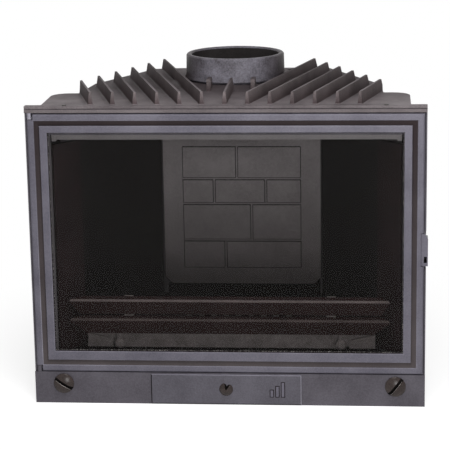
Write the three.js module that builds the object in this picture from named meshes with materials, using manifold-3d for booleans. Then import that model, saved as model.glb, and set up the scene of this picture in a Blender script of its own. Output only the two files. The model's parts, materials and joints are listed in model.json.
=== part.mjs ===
// Cast-iron closed fireplace insert with a glazed door, in millimetres, +Z up.
// The pieces are drawn with the face of the insert at Y = 0 and its back towards +Y. The outer
// group then moves them so that the origin lies on the flue's axis, on the underside of the base.

import * as THREE from 'three';
import { mergeVertices } from 'three/addons/utils/BufferGeometryUtils.js';
import Module from 'manifold-3d';

const wasm = await Module();
wasm.setup();

// ---------------------------------------------------------------- overall sizes
const FACE_WIDTH = 700;
const FACE_HEIGHT = 543; // underside of the base to the top of the roof plate
const FLUE_SETBACK = 270; // face to the flue's axis
const SEAT_GAP = 0.3; // between pieces that rest on each other
const PIN_GAP = 0.3; // round a pin or shank in its hole
const CUT_OVER = 2; // how far a cutting solid runs past the surface it cuts

// ---------------------------------------------------------------- facade casting
const SEAL_SETBACK = 18; // face to the surface that the door's rope closes on
const FACADE_PLATE = 6;
const OPENING_SIDE = 38; // facade's side to the fire opening
const OPENING_SILL = 4; // hearth plate up to the fire opening
const OPENING_DROP = 54; // top of the roof plate to the fire opening
const FASCIA_HEIGHT = 58.7; // band under the door
const FASCIA_PLATE = 7;
const FASCIA_FLANGE = 6;
const TOP_LIP = 6;
const SIDE_LIP = 2.6;
const SIDE_LIP_SETBACK = 5;
const AIR_WINDOW_WIDTH = 200; // combustion air, from the fascia to the ash pit
const AIR_WINDOW_BOTTOM = 14;
const AIR_WINDOW_HEIGHT = 34;

// ---------------------------------------------------------------- door
const DOOR_SIDE_GAP = 1;
const DOOR_TOP_GAP = 1.6;
const DOOR_BOTTOM_GAP = 0.7;
const DOOR_DEPTH = 13;
const DOOR_EDGE_ROUND = 4;
const OUTER_BAND = 12.6;
const GROOVE_WIDTH = 9;
const GROOVE_DEPTH = 5;
const INNER_BAND_SIDE = 13.8;
const INNER_BAND_TOP = 12;
const INNER_BAND_BOTTOM = 17;
const BAND_EDGE = 1; // small chamfer along both bands
const GLASS_LIP = 6.5; // depth of the inner band in front of the gasket
const GLASS_COVER = 8.5; // how far the inner band covers the glass
const GLASS_THICKNESS = 4;
const GLASS_SIDE_GAP = 0.5;
const GASKET_THICKNESS = 1.4;
const GASKET_SHOW = 1.2; // gasket edge that shows inside the band
const ROPE_CHANNEL_INSET = 10.9; // door's edge to the rope channel
const ROPE_CHANNEL_WIDTH = 9;
const ROPE_CHANNEL_DEPTH = 5;
const CLIP_WIDTH = 22;
const CLIP_THICKNESS = 1.5;
const CLIP_GRIP = 5; // clip's reach over the glass
const CLIP_INSET = 140; // door's lower and upper edges to the clips
const CLIP_SCREW_RADIUS = 1.6;
const CLIP_SCREW_DEPTH = 4;
const CLIP_HEAD_RADIUS = 3.1;
const CLIP_HEAD_HEIGHT = 2;

// ---------------------------------------------------------------- hinge
const HINGE_INSET = 4.5; // door's left edge to the hinge axis
const HINGE_SETBACK = 4.8;
const KNUCKLE_RADIUS = 4.4;
const KNUCKLE_HEIGHT = 11.4;
const KNUCKLE_WEB = 5;
const KNUCKLE_GAP = 1.2;
const NOTCH_WIDTH = 11.2; // door's corner notch round the knuckle
const HINGE_PIN_RADIUS = 2.2;
const HINGE_PIN_IN_DOOR = 14;
const HINGE_PIN_IN_LIP = 3;
const HINGE_COLLAR_RADIUS = 3.8;

// ---------------------------------------------------------------- latch
const LATCH_HEIGHT = 287.5; // centre of the lever
const LATCH_LENGTH = 58;
const LATCH_SLOT_GAP = 1;
const LATCH_PIN_INSET = 3.6; // door's right edge to the lever's pin
const LATCH_PIN_SETBACK = 5;
const LATCH_PIN_RADIUS = 2;
const LATCH_PIN_IN_DOOR = 12;
const LATCH_BARREL_RADIUS = 4;
const LATCH_BARREL_GAP = 0.6; // round the barrel in its pocket
const LATCH_POCKET_LIP = 2.3; // pin's axis to the edge of the band that covers the pocket
const LATCH_PROUD = 3; // lever past the side of the facade
const LATCH_ARM_FRONT = 0.6;
const LATCH_ARM_BACK = 11;
const LATCH_SLOPE_WIDTH = 5.5;
const LATCH_SLOPE_HEIGHT = 10;
const LATCH_NOSE_HEIGHT = 40;
const LATCH_NOSE_THICKNESS = 4;
const LATCH_TOOTH_REACH = 2.6;
const LATCH_TOOTH_DEPTH = 4;
const LATCH_TOOTH_GAP = 1; // behind the facade plate
const KEEPER_EDGE_INSET = 4.4; // facade's side to the edge that the tooth hooks
const LATCH_NOTCH_HEIGHT = 68;
const TOOL_HOLE_WIDTH = 5;
const TOOL_HOLE_HEIGHT = 11;
const TOOL_HOLE_DEPTH = 8;
const TOOL_HOLE_DROP = 17.5; // lever's centre down to the tool hole's centre
const TOOL_HOLE_WALL = 2;

// ---------------------------------------------------------------- air slider and valves
const SLIDER_OFFSET = -4; // rest place of the slider's centre
const SLIDER_WIDTH = 270;
const SLIDER_BOTTOM = 1.5;
const SLIDER_TOP_GAP = 1.5;
const SLIDER_THICKNESS = 3.6;
const SLIDER_EDGE = 1.5;
const SLIDER_TRAVEL_OPEN = 60; // to the left
const SLIDER_TRAVEL_SHUT = 4; // to the right
const SLIDER_STUD_SPREAD = 65;
const SLIDER_STUD_RADIUS = 3;
const SLIDER_STUD_END = 3; // stud past its clip
const SLIDER_SLOT_HEIGHT = 30;
const SLIDER_WINDOW_WIDTH = 50; // air window that the slider's right end uncovers
const SLIDER_WINDOW_HEIGHT = 34;
const SLIDER_OVERLAP = 7;
const RETAINER_RADIUS = 8;
const RETAINER_THICKNESS = 2;
const KNOB_RADIUS = 13;
const KNOB_DOME = 6.5;
const KNOB_SHANK_RADIUS = 4;
const KNOB_NOTCH_WIDTH = 11;
const VALVE_INSET = 52.2; // facade's side to the valve's axis
const VALVE_HEIGHT = 37.3;
const VALVE_RADIUS = 18.4;
const VALVE_RIM = 2;
const VALVE_DOME = 6;
const VALVE_SLOT_WIDTH = 5;
const VALVE_SLOT_DEPTH = 4;
const VALVE_SLOT_TURNS = [-33, 52]; // degrees, left and right
const VALVE_STEM_RADIUS = 5;

// ---------------------------------------------------------------- body shell
const IRON = 7; // wall of the body castings
const ROOF_PLATE = 5.5;
const ROOF_OVERHANG = 6;
const ROOF_LIP_DEPTH = 14; // full-width strip over the facade
const ROOF_LIP_CHAMFER = 1.6; // along the joint between the strip and the facade
const BODY_INSET = 34; // facade's side to the body's
const SHOULDER_RADIUS = 25;
const SHOULDER_BACK = 135;
const WAIST_STEP = 46; // how far the body draws in behind its shoulder
const FLANK_TAPER = 13.5; // and again before the flank turns inwards
const FLANK_BACK = 249;
const TAIL_HALF_WIDTH = 168;
const TAIL_START = 432;
const TAIL_END_HALF_WIDTH = 126;
const TAIL_END = 440;
const BACK_JOINT = 428; // side walls end and the back wall begins
const BASE_HEIGHT = 79.7;
const BASE_PLATE = 6;
const HEARTH_PLATE = 8;
const WALL_RIB_WIDTH = 6;
const WALL_RIB_DEPTH = 5;
const WALL_RIB_COUNT = 4;
const WALL_RIB_MARGIN = 28;
const BACK_RIB_COUNT = 3;
const BACK_RIB_PITCH = 62;
const ROOF_SCREW_INSET = 70; // facade's side to the front screw
const ROOF_SCREW_SETBACK = 7;
const ROOF_SCREW_BACK_SPREAD = 95;
const ROOF_SCREW_RADIUS = 3;
const ROOF_SCREW_LENGTH = 11;
const ROOF_SCREW_HEAD_RADIUS = 4.2;
const ROOF_SCREW_HEAD_HEIGHT = 1.5;
const ROOF_LUG = 18;
const ROOF_LUG_HEIGHT = 22;

// ---------------------------------------------------------------- roof fins and flue collar
const FIN_HEIGHT = 22.5;
const FIN_FOOT = 8.5;
const FIN_TOP = 3.8;
const FIN_COUNT = 6; // each side of the middle fin
const FIN_PITCH = 39;
const FIN_INNER_OFFSET = 39.5; // front end of the innermost slanted fin
const FIN_SETBACK = 14;
const FIN_LEANS = [15.5, 14.4]; // degrees from straight back, left and right
const FIN_SHORTEST = 147; // outermost fin, measured straight back
const FIN_STEP = 53.2; // each next fin's extra length
const FIN_END_SLOPE = 11; // how far the foot runs on behind the top at the back end
const FIN_ROOT = 1; // sunk into the roof plate
const STUB_SPREAD = 40;
const STUB_REACH = 118; // stub's front end, from the flue's axis
const BOSS_FOOT_RADIUS = 120;
const BOSS_TOP_RADIUS = 99;
const BOSS_HEIGHT = 8;
const FLUE_BORE = 81;
const COLLAR_TOP_RADIUS = 91;
const COLLAR_FOOT_RADIUS = 94.5;
const COLLAR_HEIGHT = 47.5; // rim above the roof's boss
const COLLAR_FOOT_FLARE = 7; // height of the flare above the foot
const COLLAR_FOOT_EDGE = 0.8; // what the flare leaves of its width at its top
const COLLAR_NECK_WALL = 3; // recessed neck under the collar's foot
const COLLAR_NECK_HEIGHT = 3.7;
const SPIGOT_RADIUS = 86;
const SPIGOT_LENGTH = 12;
const ROUND_STEPS = 56;

// ---------------------------------------------------------------- firebox lining
const CHEEK_BACK = 70;
const CHEEK_INSET = 51; // body's side to the back edge of the cheek
const LINER_END_HALF_WIDTH = 157;
const LINER_THICKNESS = 11;
const LINER_TIP = 4; // edge of the liner behind the facade
const LINER_DROP = 19; // top of the opening to the top of the lining
const FIREBACK_SETBACK = 383;
const FIREBACK_THICKNESS = 8;
const FIREBACK_HALF_WIDTH = 156;
const FIREBACK_RISE = 31; // hearth plate up to the fireback
const FIREBACK_CHAMFER = 14;
const RELIEF_HEIGHT = 3;
const RELIEF_JOINT = 3;
const RELIEF_COURSES = [58, 74, 50, 66]; // heights of the block courses, from the bottom
const RELIEF_SPLITS = [[0.36], [0.58], [0.27, 0.7], [0.46]]; // joints in each course
const RELIEF_HALF_WIDTH = 118;
const RELIEF_MARGIN = 31; // plain edge under the courses
const LEDGE_HALF_WIDTH = 150;
const LEDGE_DEPTH = 18;
const BAFFLE_THICKNESS = 8;
const BAFFLE_FRONT = 150;
const BAFFLE_SEAT = 8; // baffle's rest on each liner
const GRATE_HALF_WIDTH = 120;
const GRATE_FRONT = 130;
const GRATE_BACK = 345;
const GRATE_THICKNESS = 10;
const GRATE_SEAT = 8;
const GRATE_LEDGE = 4;
const GRATE_SLOT = 12;
const GRATE_BAR = 12;
const GRATE_END = 22;
const PAN_HALF_WIDTH = 100;
const PAN_FRONT = 145;
const PAN_BACK = 330;
const PAN_HEIGHT = 50;
const PAN_WALL = 2;
const PAN_FLARE = 8;
const AIRWASH_SIDE_GAP = 2; // to the body's walls
const AIRWASH_DROP = 9.5; // strip's lower edge under the top of the opening
const AIRWASH_RISE = 13; // and its upper edge above it
const AIRWASH_SHEET = 3;
const AIRWASH_LEG = 20;
const AIRWASH_END = 8;
const AIRWASH_END_PROUD = 2.5;
const AIRWASH_SCREW_INSET = 67;
const AIRWASH_SCREW_RADIUS = 2;
const AIRWASH_SCREW_DEPTH = 4;

// ---------------------------------------------------------------- hearth sill and log guard
const SILL_END_INSET = 3; // cheek's back edge to the sill's ends
const SILL_SIDE_GAP = 1; // to the liners
const SILL_FRONT = 60;
const SILL_BACK = 88;
const SILL_CREST = 80;
const SILL_HEIGHT = 36;
const SILL_ARCH_OUTSET = 6; // guard's leg to the middle of the arch behind it
const SILL_ARCH_RADIUS = 8;
const SILL_BOSS_RADIUS = 5; // round boss inside each arch
const SILL_BOSS_DROP = 2;
const SILL_ARCH_RISE = 20; // hearth plate up to the middle of the arch
const SILL_ARCH_BACK = 68;
const SILL_WEDGE_WIDTH = 4;
const SILL_WEDGE_RISE = 3;
const SILL_WEDGE_DROP = 7;
const GUARD_FRONT = 30;
const GUARD_HEIGHT = 99; // hearth plate up to the top of the upper bar
const GUARD_PITCH = 36;
const GUARD_FACE_HEIGHT = 28;
const GUARD_FACE_LEAN = 16; // how far the face runs back towards its foot
const GUARD_FLANGE = 20;
const GUARD_SHEET = 5;
const GUARD_SIDE_GAP = 12; // to the cheek beside its front edge
const GUARD_CORNER = 7; // rounding of the upper corners of each face
const GUARD_END_SLOPES = [15, 29]; // how far each bar's ends run in towards the foot, upper and lower
const GUARD_POST_INSET = 105; // bar's end to the middle of the post
const GUARD_POST_WIDTH = 16;
const GUARD_POST_THICKNESS = 6;
const GUARD_LEG_OUTSET = 18; // middle of the post to the middle of its leg
const GUARD_LEG_WIDTH = 9;
const GUARD_JOG_HEIGHT = 15; // cross piece from the post out to its leg, behind the lower bar
const GUARD_EYE_RADIUS = 8; // leg's eye round the pin
const GUARD_PIN_RISE = 10.5;
const GUARD_PIN_RADIUS = 4;
const GUARD_HEAD_RADIUS = 10;
const GUARD_HEAD_THICKNESS = 6;

// ---------------------------------------------------------------- places worked out from the sizes
const HALF_FACE = FACE_WIDTH / 2;
const FACADE_TOP = FACE_HEIGHT - ROOF_PLATE - SEAT_GAP;
const PLATE_BACK = SEAL_SETBACK + FACADE_PLATE;
const BODY_FRONT = PLATE_BACK + SEAT_GAP;
const HALF_OPENING = HALF_FACE - OPENING_SIDE;
const OPENING_TOP = FACE_HEIGHT - OPENING_DROP;
const VALVE_SPREAD = HALF_FACE - VALVE_INSET;
const ROOF_SCREW_SPREAD = HALF_FACE - ROOF_SCREW_INSET;
const BODY_HALF_WIDTH = HALF_FACE - BODY_INSET;
const WAIST_HALF_WIDTH = BODY_HALF_WIDTH - WAIST_STEP;
const FLANK_HALF_WIDTH = WAIST_HALF_WIDTH - FLANK_TAPER;
const CHEEK_HALF_WIDTH = BODY_HALF_WIDTH - CHEEK_INSET;
const CHEEK_FRONT = BODY_FRONT + SEAT_GAP;
const CHEEK_FRONT_HALF_WIDTH = BODY_HALF_WIDTH - IRON - SEAT_GAP - LINER_TIP;
const AIRWASH_HALF_WIDTH = BODY_HALF_WIDTH - IRON - AIRWASH_SIDE_GAP;
const AIRWASH_SCREW_SPREAD = AIRWASH_HALF_WIDTH - AIRWASH_SCREW_INSET;
const AIRWASH_BOTTOM = OPENING_TOP - AIRWASH_DROP;
const AIRWASH_TOP = OPENING_TOP + AIRWASH_RISE;
const LINER_TOP = OPENING_TOP - LINER_DROP;
const SILL_HALF_WIDTH = CHEEK_HALF_WIDTH - SILL_END_INSET;
const HALF_DOOR = HALF_FACE - SIDE_LIP - DOOR_SIDE_GAP;
const DOOR_BOTTOM = FASCIA_HEIGHT + DOOR_BOTTOM_GAP;
const DOOR_TOP = FACADE_TOP - TOP_LIP - DOOR_TOP_GAP;
const HINGE_X = HINGE_INSET - HALF_DOOR;
const LIP_UNDERSIDE = FACADE_TOP - TOP_LIP;
const LATCH_X = HALF_DOOR - LATCH_PIN_INSET;
const LATCH_OUTSIDE = HALF_FACE + LATCH_PROUD;
const KEEPER_EDGE = HALF_FACE - KEEPER_EDGE_INSET;
const SLIDER_SLOT_REACH = SLIDER_STUD_RADIUS + PIN_GAP;
const HEARTH_TOP = BASE_HEIGHT + SEAT_GAP + HEARTH_PLATE;
const OPENING_BOTTOM = HEARTH_TOP + OPENING_SILL;
const FIREBACK_BOTTOM = HEARTH_TOP + FIREBACK_RISE;
const RELIEF_BOTTOM = FIREBACK_BOTTOM + RELIEF_MARGIN;
const SILL_TOP = HEARTH_TOP + SILL_HEIGHT;
const SILL_ARCH_HEIGHT = HEARTH_TOP + SILL_ARCH_RISE;
const GUARD_TOP = HEARTH_TOP + GUARD_HEIGHT;
const GUARD_PIN_HEIGHT = HEARTH_TOP + GUARD_PIN_RISE;
const BOSS_TOP = FACE_HEIGHT + BOSS_HEIGHT;
const COLLAR_RIM = BOSS_TOP + COLLAR_HEIGHT;
const GUARD_SLANT = Math.hypot(GUARD_FACE_LEAN, GUARD_FACE_HEIGHT);
const GUARD_SHEET_RUN = (GUARD_SHEET * GUARD_FACE_HEIGHT) / GUARD_SLANT; // sheet's thickness, front to back
const GUARD_SHEET_RISE = (GUARD_SHEET * GUARD_FACE_LEAN) / GUARD_SLANT;
const GUARD_BACK = GUARD_FRONT + Math.max(GUARD_FLANGE, GUARD_FACE_LEAN + GUARD_SHEET_RUN);
const GUARD_HALF_WIDTH = THREE.MathUtils.mapLinear(
  GUARD_FRONT, CHEEK_FRONT, CHEEK_BACK, CHEEK_FRONT_HALF_WIDTH, CHEEK_HALF_WIDTH) - GUARD_SIDE_GAP;
const GUARD_POST_SPREAD = GUARD_HALF_WIDTH - GUARD_POST_INSET;
const GUARD_FOOT_SPREAD = GUARD_POST_SPREAD + GUARD_LEG_OUTSET;
const SILL_ARCH_SPREAD = GUARD_FOOT_SPREAD + SILL_ARCH_OUTSET;

// ---------------------------------------------------------------- solids from three.js shapes
function solidOf(geometry) {
  const bare = geometry.clone();
  bare.deleteAttribute('normal');
  bare.deleteAttribute('uv');
  const merged = mergeVertices(bare, 1e-4);
  const points = merged.getAttribute('position').array;
  const corners = [];
  let volume = 0;
  const a = new THREE.Vector3();
  const b = new THREE.Vector3();
  const c = new THREE.Vector3();
  for (let i = 0; i < merged.index.count; i += 3) {
    const [p, q, r] = [0, 1, 2].map((k) => merged.index.getX(i + k));
    if (p === q || q === r || r === p) continue;
    corners.push(p, q, r);
    volume += a.fromArray(points, 3 * p).dot(b.fromArray(points, 3 * q).cross(c.fromArray(points, 3 * r)));
  }
  if (volume < 0) corners.reverse();
  return new wasm.Manifold(new wasm.Mesh({
    numProp: 3,
    vertProperties: Float32Array.from(points),
    triVerts: Uint32Array.from(corners),
  }));
}

const join = (...solids) => solids.reduce((whole, piece) => whole.add(piece));
const cut = (solid, ...tools) => tools.reduce((rest, tool) => rest.subtract(tool), solid);

function outline(points, holes = []) {
  const shape = new THREE.Shape(points.map(([x, y]) => new THREE.Vector2(x, y)));
  shape.holes = holes.map((hole) => new THREE.Path(hole.map(([x, y]) => new THREE.Vector2(x, y))));
  return shape;
}

const extruded = (points, depth, holes) => new THREE.ExtrudeGeometry(
  outline(points, holes), { depth, bevelEnabled: false, curveSegments: 12 });

// plan outline (x, y) raised from one height to another
function slab(points, zLow, zHigh, holes) {
  return solidOf(extruded(points, zHigh - zLow, holes).translate(0, 0, zLow));
}

// front-view outline (x, z) carried from one depth to another
function panel(points, yFront, yBack, holes) {
  return solidOf(extruded(points, yBack - yFront, holes).rotateX(Math.PI / 2).translate(0, yBack, 0));
}

// side-view outline (y, z) carried across from one x to another
function profile(points, xLow, xHigh) {
  const swap = new THREE.Matrix4().makeBasis(
    new THREE.Vector3(0, 1, 0), new THREE.Vector3(0, 0, 1), new THREE.Vector3(1, 0, 0));
  return solidOf(extruded(points, xHigh - xLow).applyMatrix4(swap).translate(xLow, 0, 0));
}

function block(x0, x1, y0, y1, z0, z1) {
  const box = new THREE.BoxGeometry(x1 - x0, y1 - y0, z1 - z0);
  return solidOf(box.translate((x0 + x1) / 2, (y0 + y1) / 2, (z0 + z1) / 2));
}

// points along an arc, from one angle to another in degrees
function arc(x, y, radius, from, to, steps) {
  return Array.from({ length: steps + 1 }, (_, i) => {
    const angle = THREE.MathUtils.degToRad(from + ((to - from) * i) / steps);
    return [x + radius * Math.cos(angle), y + radius * Math.sin(angle)];
  });
}

const rectangle = (x0, x1, y0, y1) => [[x0, y0], [x1, y0], [x1, y1], [x0, y1]];

// closed profile (radius, height) turned about the vertical axis at x, y
function turned(points, x = 0, y = 0, steps = ROUND_STEPS) {
  const lathe = new THREE.LatheGeometry(points.map(([r, z]) => new THREE.Vector2(r, z)), steps);
  return solidOf(lathe.rotateX(Math.PI / 2).translate(x, y, 0));
}

// the same, turned about an axis that runs front to back at x, z; heights grow towards the back
function turnedFlat(points, x, z, steps = 32) {
  const lathe = new THREE.LatheGeometry(points.map(([r, y]) => new THREE.Vector2(r, y)), steps);
  return solidOf(lathe.translate(x, 0, z));
}

const disc = (radius, low, high) => [[0, low], [radius, low], [radius, high], [0, high]];

// rectangular frame with mitred corners; the section is a closed list of [inset rectangle, depth]
function mitredFrame(section) {
  const points = [];
  for (const [[left, right, bottom, top], depth] of section) {
    points.push(left, depth, bottom, right, depth, bottom, right, depth, top, left, depth, top);
  }
  const faces = [];
  section.forEach((_, i) => {
    const next = (i + 1) % section.length;
    for (let corner = 0; corner < 4; corner += 1) {
      const turn = (corner + 1) % 4;
      const [a, b, c, d] = [4 * i + corner, 4 * i + turn, 4 * next + turn, 4 * next + corner];
      faces.push(a, b, c, a, c, d);
    }
  });
  const frame = new THREE.BufferGeometry();
  frame.setAttribute('position', new THREE.Float32BufferAttribute(points, 3));
  frame.setIndex(faces);
  return solidOf(frame);
}

// rectangle [left, right, bottom, top] drawn in on its sides, bottom and top
const inset = ([left, right, bottom, top], side, low = side, high = side) => [
  left + side, right - side, bottom + low, top - high];

// open path moved sideways, to its left when the distance is positive, with mitred corners
function parallel(path, distance) {
  const sides = path.slice(1).map(([x, y], i) => {
    const [fromX, fromY] = path[i];
    const length = Math.hypot(x - fromX, y - fromY);
    return [-(y - fromY) / length, (x - fromX) / length];
  });
  return path.map(([x, y], i) => {
    const [ax, ay] = sides[Math.max(i - 1, 0)];
    const [bx, by] = sides[Math.min(i, sides.length - 1)];
    const share = distance / (1 + ax * bx + ay * by);
    return [x + (ax + bx) * share, y + (ay + by) * share];
  });
}

const mirrored = (points) => points.map(([x, y]) => [-x, y]);
const bothSides = (half) => [...half, ...mirrored(half).reverse()];
const flip = (solid) => solid.mirror([1, 0, 0]);

// ---------------------------------------------------------------- the assembly
const castIron = new THREE.MeshStandardMaterial({ color: 0x4d4a4e, roughness: 0.62, metalness: 0.55 });
const groundIron = new THREE.MeshStandardMaterial({ color: 0x77747f, roughness: 0.42, metalness: 0.7 });
const sootedIron = new THREE.MeshStandardMaterial({ color: 0x2b2727, roughness: 0.8, metalness: 0.3 });
const backIron = new THREE.MeshStandardMaterial({ color: 0x4a4646, roughness: 0.75, metalness: 0.3 });
const darkSteel = new THREE.MeshStandardMaterial({ color: 0x35302f, roughness: 0.5, metalness: 0.7 });
const rope = new THREE.MeshStandardMaterial({ color: 0x55524f, roughness: 0.95, metalness: 0 });
const glass = new THREE.MeshStandardMaterial({
  color: 0x9a9c98, roughness: 0.05, metalness: 0, transparent: true, opacity: 0.3 });

const insert = new THREE.Group();
insert.position.y = -FLUE_SETBACK;

function add(name, solid, material) {
  const mesh = solid.getMesh();
  const geometry = new THREE.BufferGeometry();
  geometry.setAttribute('position', new THREE.BufferAttribute(mesh.vertProperties, 3));
  geometry.setIndex(new THREE.BufferAttribute(mesh.triVerts, 1));
  geometry.computeVertexNormals();
  const piece = new THREE.Mesh(geometry, material);
  piece.name = name;
  insert.add(piece);
}

function addPair(name, leftSolid, material) {
  add(`${name}_left`, leftSolid, material);
  add(`${name}_right`, flip(leftSolid), material);
}

// round-headed screw standing on z = 0, with its shank down the -Z axis
function screwProfile(headRadius, headHeight, shankRadius, shankLength) {
  return [
    [0, -shankLength], [shankRadius, -shankLength], [shankRadius, 0], [headRadius, 0],
    [headRadius, headHeight * 0.6], [headRadius * 0.6, headHeight], [0, headHeight],
  ];
}

// ---------------------------------------------------------------- facade frame
function facadeFrame() {
  const plate = panel(
    rectangle(-HALF_FACE, HALF_FACE, 0, FACADE_TOP), SEAL_SETBACK, PLATE_BACK,
    [rectangle(-HALF_OPENING, HALF_OPENING, OPENING_BOTTOM, OPENING_TOP)]);
  const into = SEAL_SETBACK + FACADE_PLATE / 2;
  const fascia = block(-HALF_FACE, HALF_FACE, 0, FASCIA_PLATE, 0, FASCIA_HEIGHT);
  const shelf = block(-HALF_FACE, HALF_FACE, 0, into, FASCIA_HEIGHT - FASCIA_FLANGE, FASCIA_HEIGHT);
  const floor = block(-HALF_FACE, HALF_FACE, 0, into, 0, FASCIA_FLANGE);
  const ends = [-1, 1].map((side) => {
    const outer = side * HALF_FACE;
    const inner = side * (HALF_FACE - FASCIA_FLANGE);
    return block(Math.min(outer, inner), Math.max(outer, inner), 0, into, 0, FASCIA_HEIGHT);
  });
  const lips = [-1, 1].map((side) => {
    const outer = side * HALF_FACE;
    const inner = side * (HALF_FACE - SIDE_LIP);
    return block(Math.min(outer, inner), Math.max(outer, inner), SIDE_LIP_SETBACK, into,
      FASCIA_HEIGHT - FASCIA_FLANGE, FACADE_TOP);
  });
  const topLip = block(-HALF_FACE, HALF_FACE, 0, into, LIP_UNDERSIDE, FACADE_TOP);
  const knuckles = [
    [FASCIA_HEIGHT - FASCIA_FLANGE / 2, FASCIA_HEIGHT + KNUCKLE_HEIGHT],
    [LIP_UNDERSIDE - KNUCKLE_HEIGHT, LIP_UNDERSIDE + TOP_LIP / 2],
  ].map(([low, high]) => join(
    turned(disc(KNUCKLE_RADIUS, low, high), HINGE_X, HINGE_SETBACK, 24),
    block(HINGE_X - KNUCKLE_WEB / 2, HINGE_X + KNUCKLE_WEB / 2, HINGE_SETBACK, into, low, high)));
  const casting = join(plate, fascia, shelf, floor, ...ends, ...lips, topLip, ...knuckles);

  const pinHoleRadius = HINGE_PIN_RADIUS + PIN_GAP;
  const pinHoles = [
    [LIP_UNDERSIDE - KNUCKLE_HEIGHT - CUT_OVER, LIP_UNDERSIDE + HINGE_PIN_IN_LIP + SEAT_GAP],
    [FASCIA_HEIGHT - HINGE_PIN_IN_LIP - SEAT_GAP, FASCIA_HEIGHT + KNUCKLE_HEIGHT + CUT_OVER],
  ].map(([low, high]) => turned(disc(pinHoleRadius, low, high), HINGE_X, HINGE_SETBACK, 24));

  const latchNotch = join(
    block(HALF_FACE - SIDE_LIP - SEAT_GAP, HALF_FACE + CUT_OVER, SIDE_LIP_SETBACK - CUT_OVER, SEAL_SETBACK,
      LATCH_HEIGHT - LATCH_NOTCH_HEIGHT / 2, LATCH_HEIGHT + LATCH_NOTCH_HEIGHT / 2),
    block(KEEPER_EDGE, HALF_FACE + CUT_OVER, SEAL_SETBACK - CUT_OVER, PLATE_BACK + CUT_OVER,
      LATCH_HEIGHT - LATCH_NOSE_HEIGHT / 2 - CUT_OVER, LATCH_HEIGHT + LATCH_NOSE_HEIGHT / 2 + CUT_OVER));

  const slots = [-1, 1].map((side) => {
    const rest = SLIDER_OFFSET + side * SLIDER_STUD_SPREAD;
    return panel(
      rectangle(rest - SLIDER_TRAVEL_OPEN - SLIDER_SLOT_REACH, rest + SLIDER_TRAVEL_SHUT + SLIDER_SLOT_REACH,
        SLIDER_SLOT_HEIGHT - SLIDER_SLOT_REACH, SLIDER_SLOT_HEIGHT + SLIDER_SLOT_REACH),
      -CUT_OVER, FASCIA_PLATE + CUT_OVER);
  });
  const windowRight = SLIDER_OFFSET + SLIDER_WIDTH / 2 - SLIDER_OVERLAP;
  const sliderWindow = panel(
    rectangle(windowRight - SLIDER_WINDOW_WIDTH, windowRight,
      AIR_WINDOW_BOTTOM, AIR_WINDOW_BOTTOM + SLIDER_WINDOW_HEIGHT), -CUT_OVER, FASCIA_PLATE + CUT_OVER);
  const pitWindow = panel(
    rectangle(-AIR_WINDOW_WIDTH / 2, AIR_WINDOW_WIDTH / 2,
      AIR_WINDOW_BOTTOM, AIR_WINDOW_BOTTOM + AIR_WINDOW_HEIGHT),
    SEAL_SETBACK - CUT_OVER, PLATE_BACK + CUT_OVER);
  const stemHole = disc(VALVE_STEM_RADIUS + PIN_GAP, -CUT_OVER, FASCIA_PLATE + CUT_OVER);
  const stemHoles = [-1, 1].map((side) => turnedFlat(stemHole, side * VALVE_SPREAD, VALVE_HEIGHT));
  const roofScrewHoles = [-1, 1].map((side) => turned(
    disc(ROOF_SCREW_RADIUS + PIN_GAP, LIP_UNDERSIDE - CUT_OVER, FACADE_TOP + CUT_OVER),
    side * ROOF_SCREW_SPREAD, ROOF_SCREW_SETBACK, 16));
  const airwashHoles = [-1, 1].map((side) => turnedFlat(
    disc(AIRWASH_SCREW_RADIUS + PIN_GAP, PLATE_BACK - AIRWASH_SCREW_DEPTH - SEAT_GAP, PLATE_BACK + CUT_OVER),
    side * AIRWASH_SCREW_SPREAD, (OPENING_TOP + AIRWASH_TOP) / 2, 16));
  return cut(casting, ...pinHoles, latchNotch, ...slots, sliderWindow, pitWindow, ...stemHoles,
    ...roofScrewHoles, ...airwashHoles);
}

// ---------------------------------------------------------------- body shell
// right half of the body's outer wall, from the facade to the back
const BODY_PATH = [
  [BODY_HALF_WIDTH, BODY_FRONT],
  ...arc(BODY_HALF_WIDTH - SHOULDER_RADIUS, SHOULDER_BACK - SHOULDER_RADIUS, SHOULDER_RADIUS, 0, 90, 5),
  [WAIST_HALF_WIDTH, SHOULDER_BACK],
  [FLANK_HALF_WIDTH, FLANK_BACK], [TAIL_HALF_WIDTH, TAIL_START], [TAIL_END_HALF_WIDTH, TAIL_END],
];

// the body's plan, moved out (or in, below zero) on its sides and back
function bodyPlan(distance, front) {
  const sides = parallel(bothSides(BODY_PATH), -distance);
  sides[0][1] = front;
  sides[sides.length - 1][1] = front;
  return sides;
}

function wallRing(zLow, zHigh) {
  return cut(slab(bodyPlan(0, BODY_FRONT), zLow, zHigh),
    slab(bodyPlan(-IRON, BODY_FRONT - CUT_OVER), zLow - CUT_OVER, zHigh + CUT_OVER));
}

function baseTray() {
  const half = BODY_HALF_WIDTH - IRON / 2;
  const front = block(-half, half, BODY_FRONT, BODY_FRONT + IRON, 0, BASE_HEIGHT);
  const tub = join(wallRing(0, BASE_HEIGHT), slab(bodyPlan(0, BODY_FRONT), 0, BASE_PLATE), front);
  return cut(tub, block(-AIR_WINDOW_WIDTH / 2, AIR_WINDOW_WIDTH / 2, BODY_FRONT - CUT_OVER,
    BODY_FRONT + IRON + CUT_OVER, AIR_WINDOW_BOTTOM, AIR_WINDOW_BOTTOM + AIR_WINDOW_HEIGHT));
}

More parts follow.
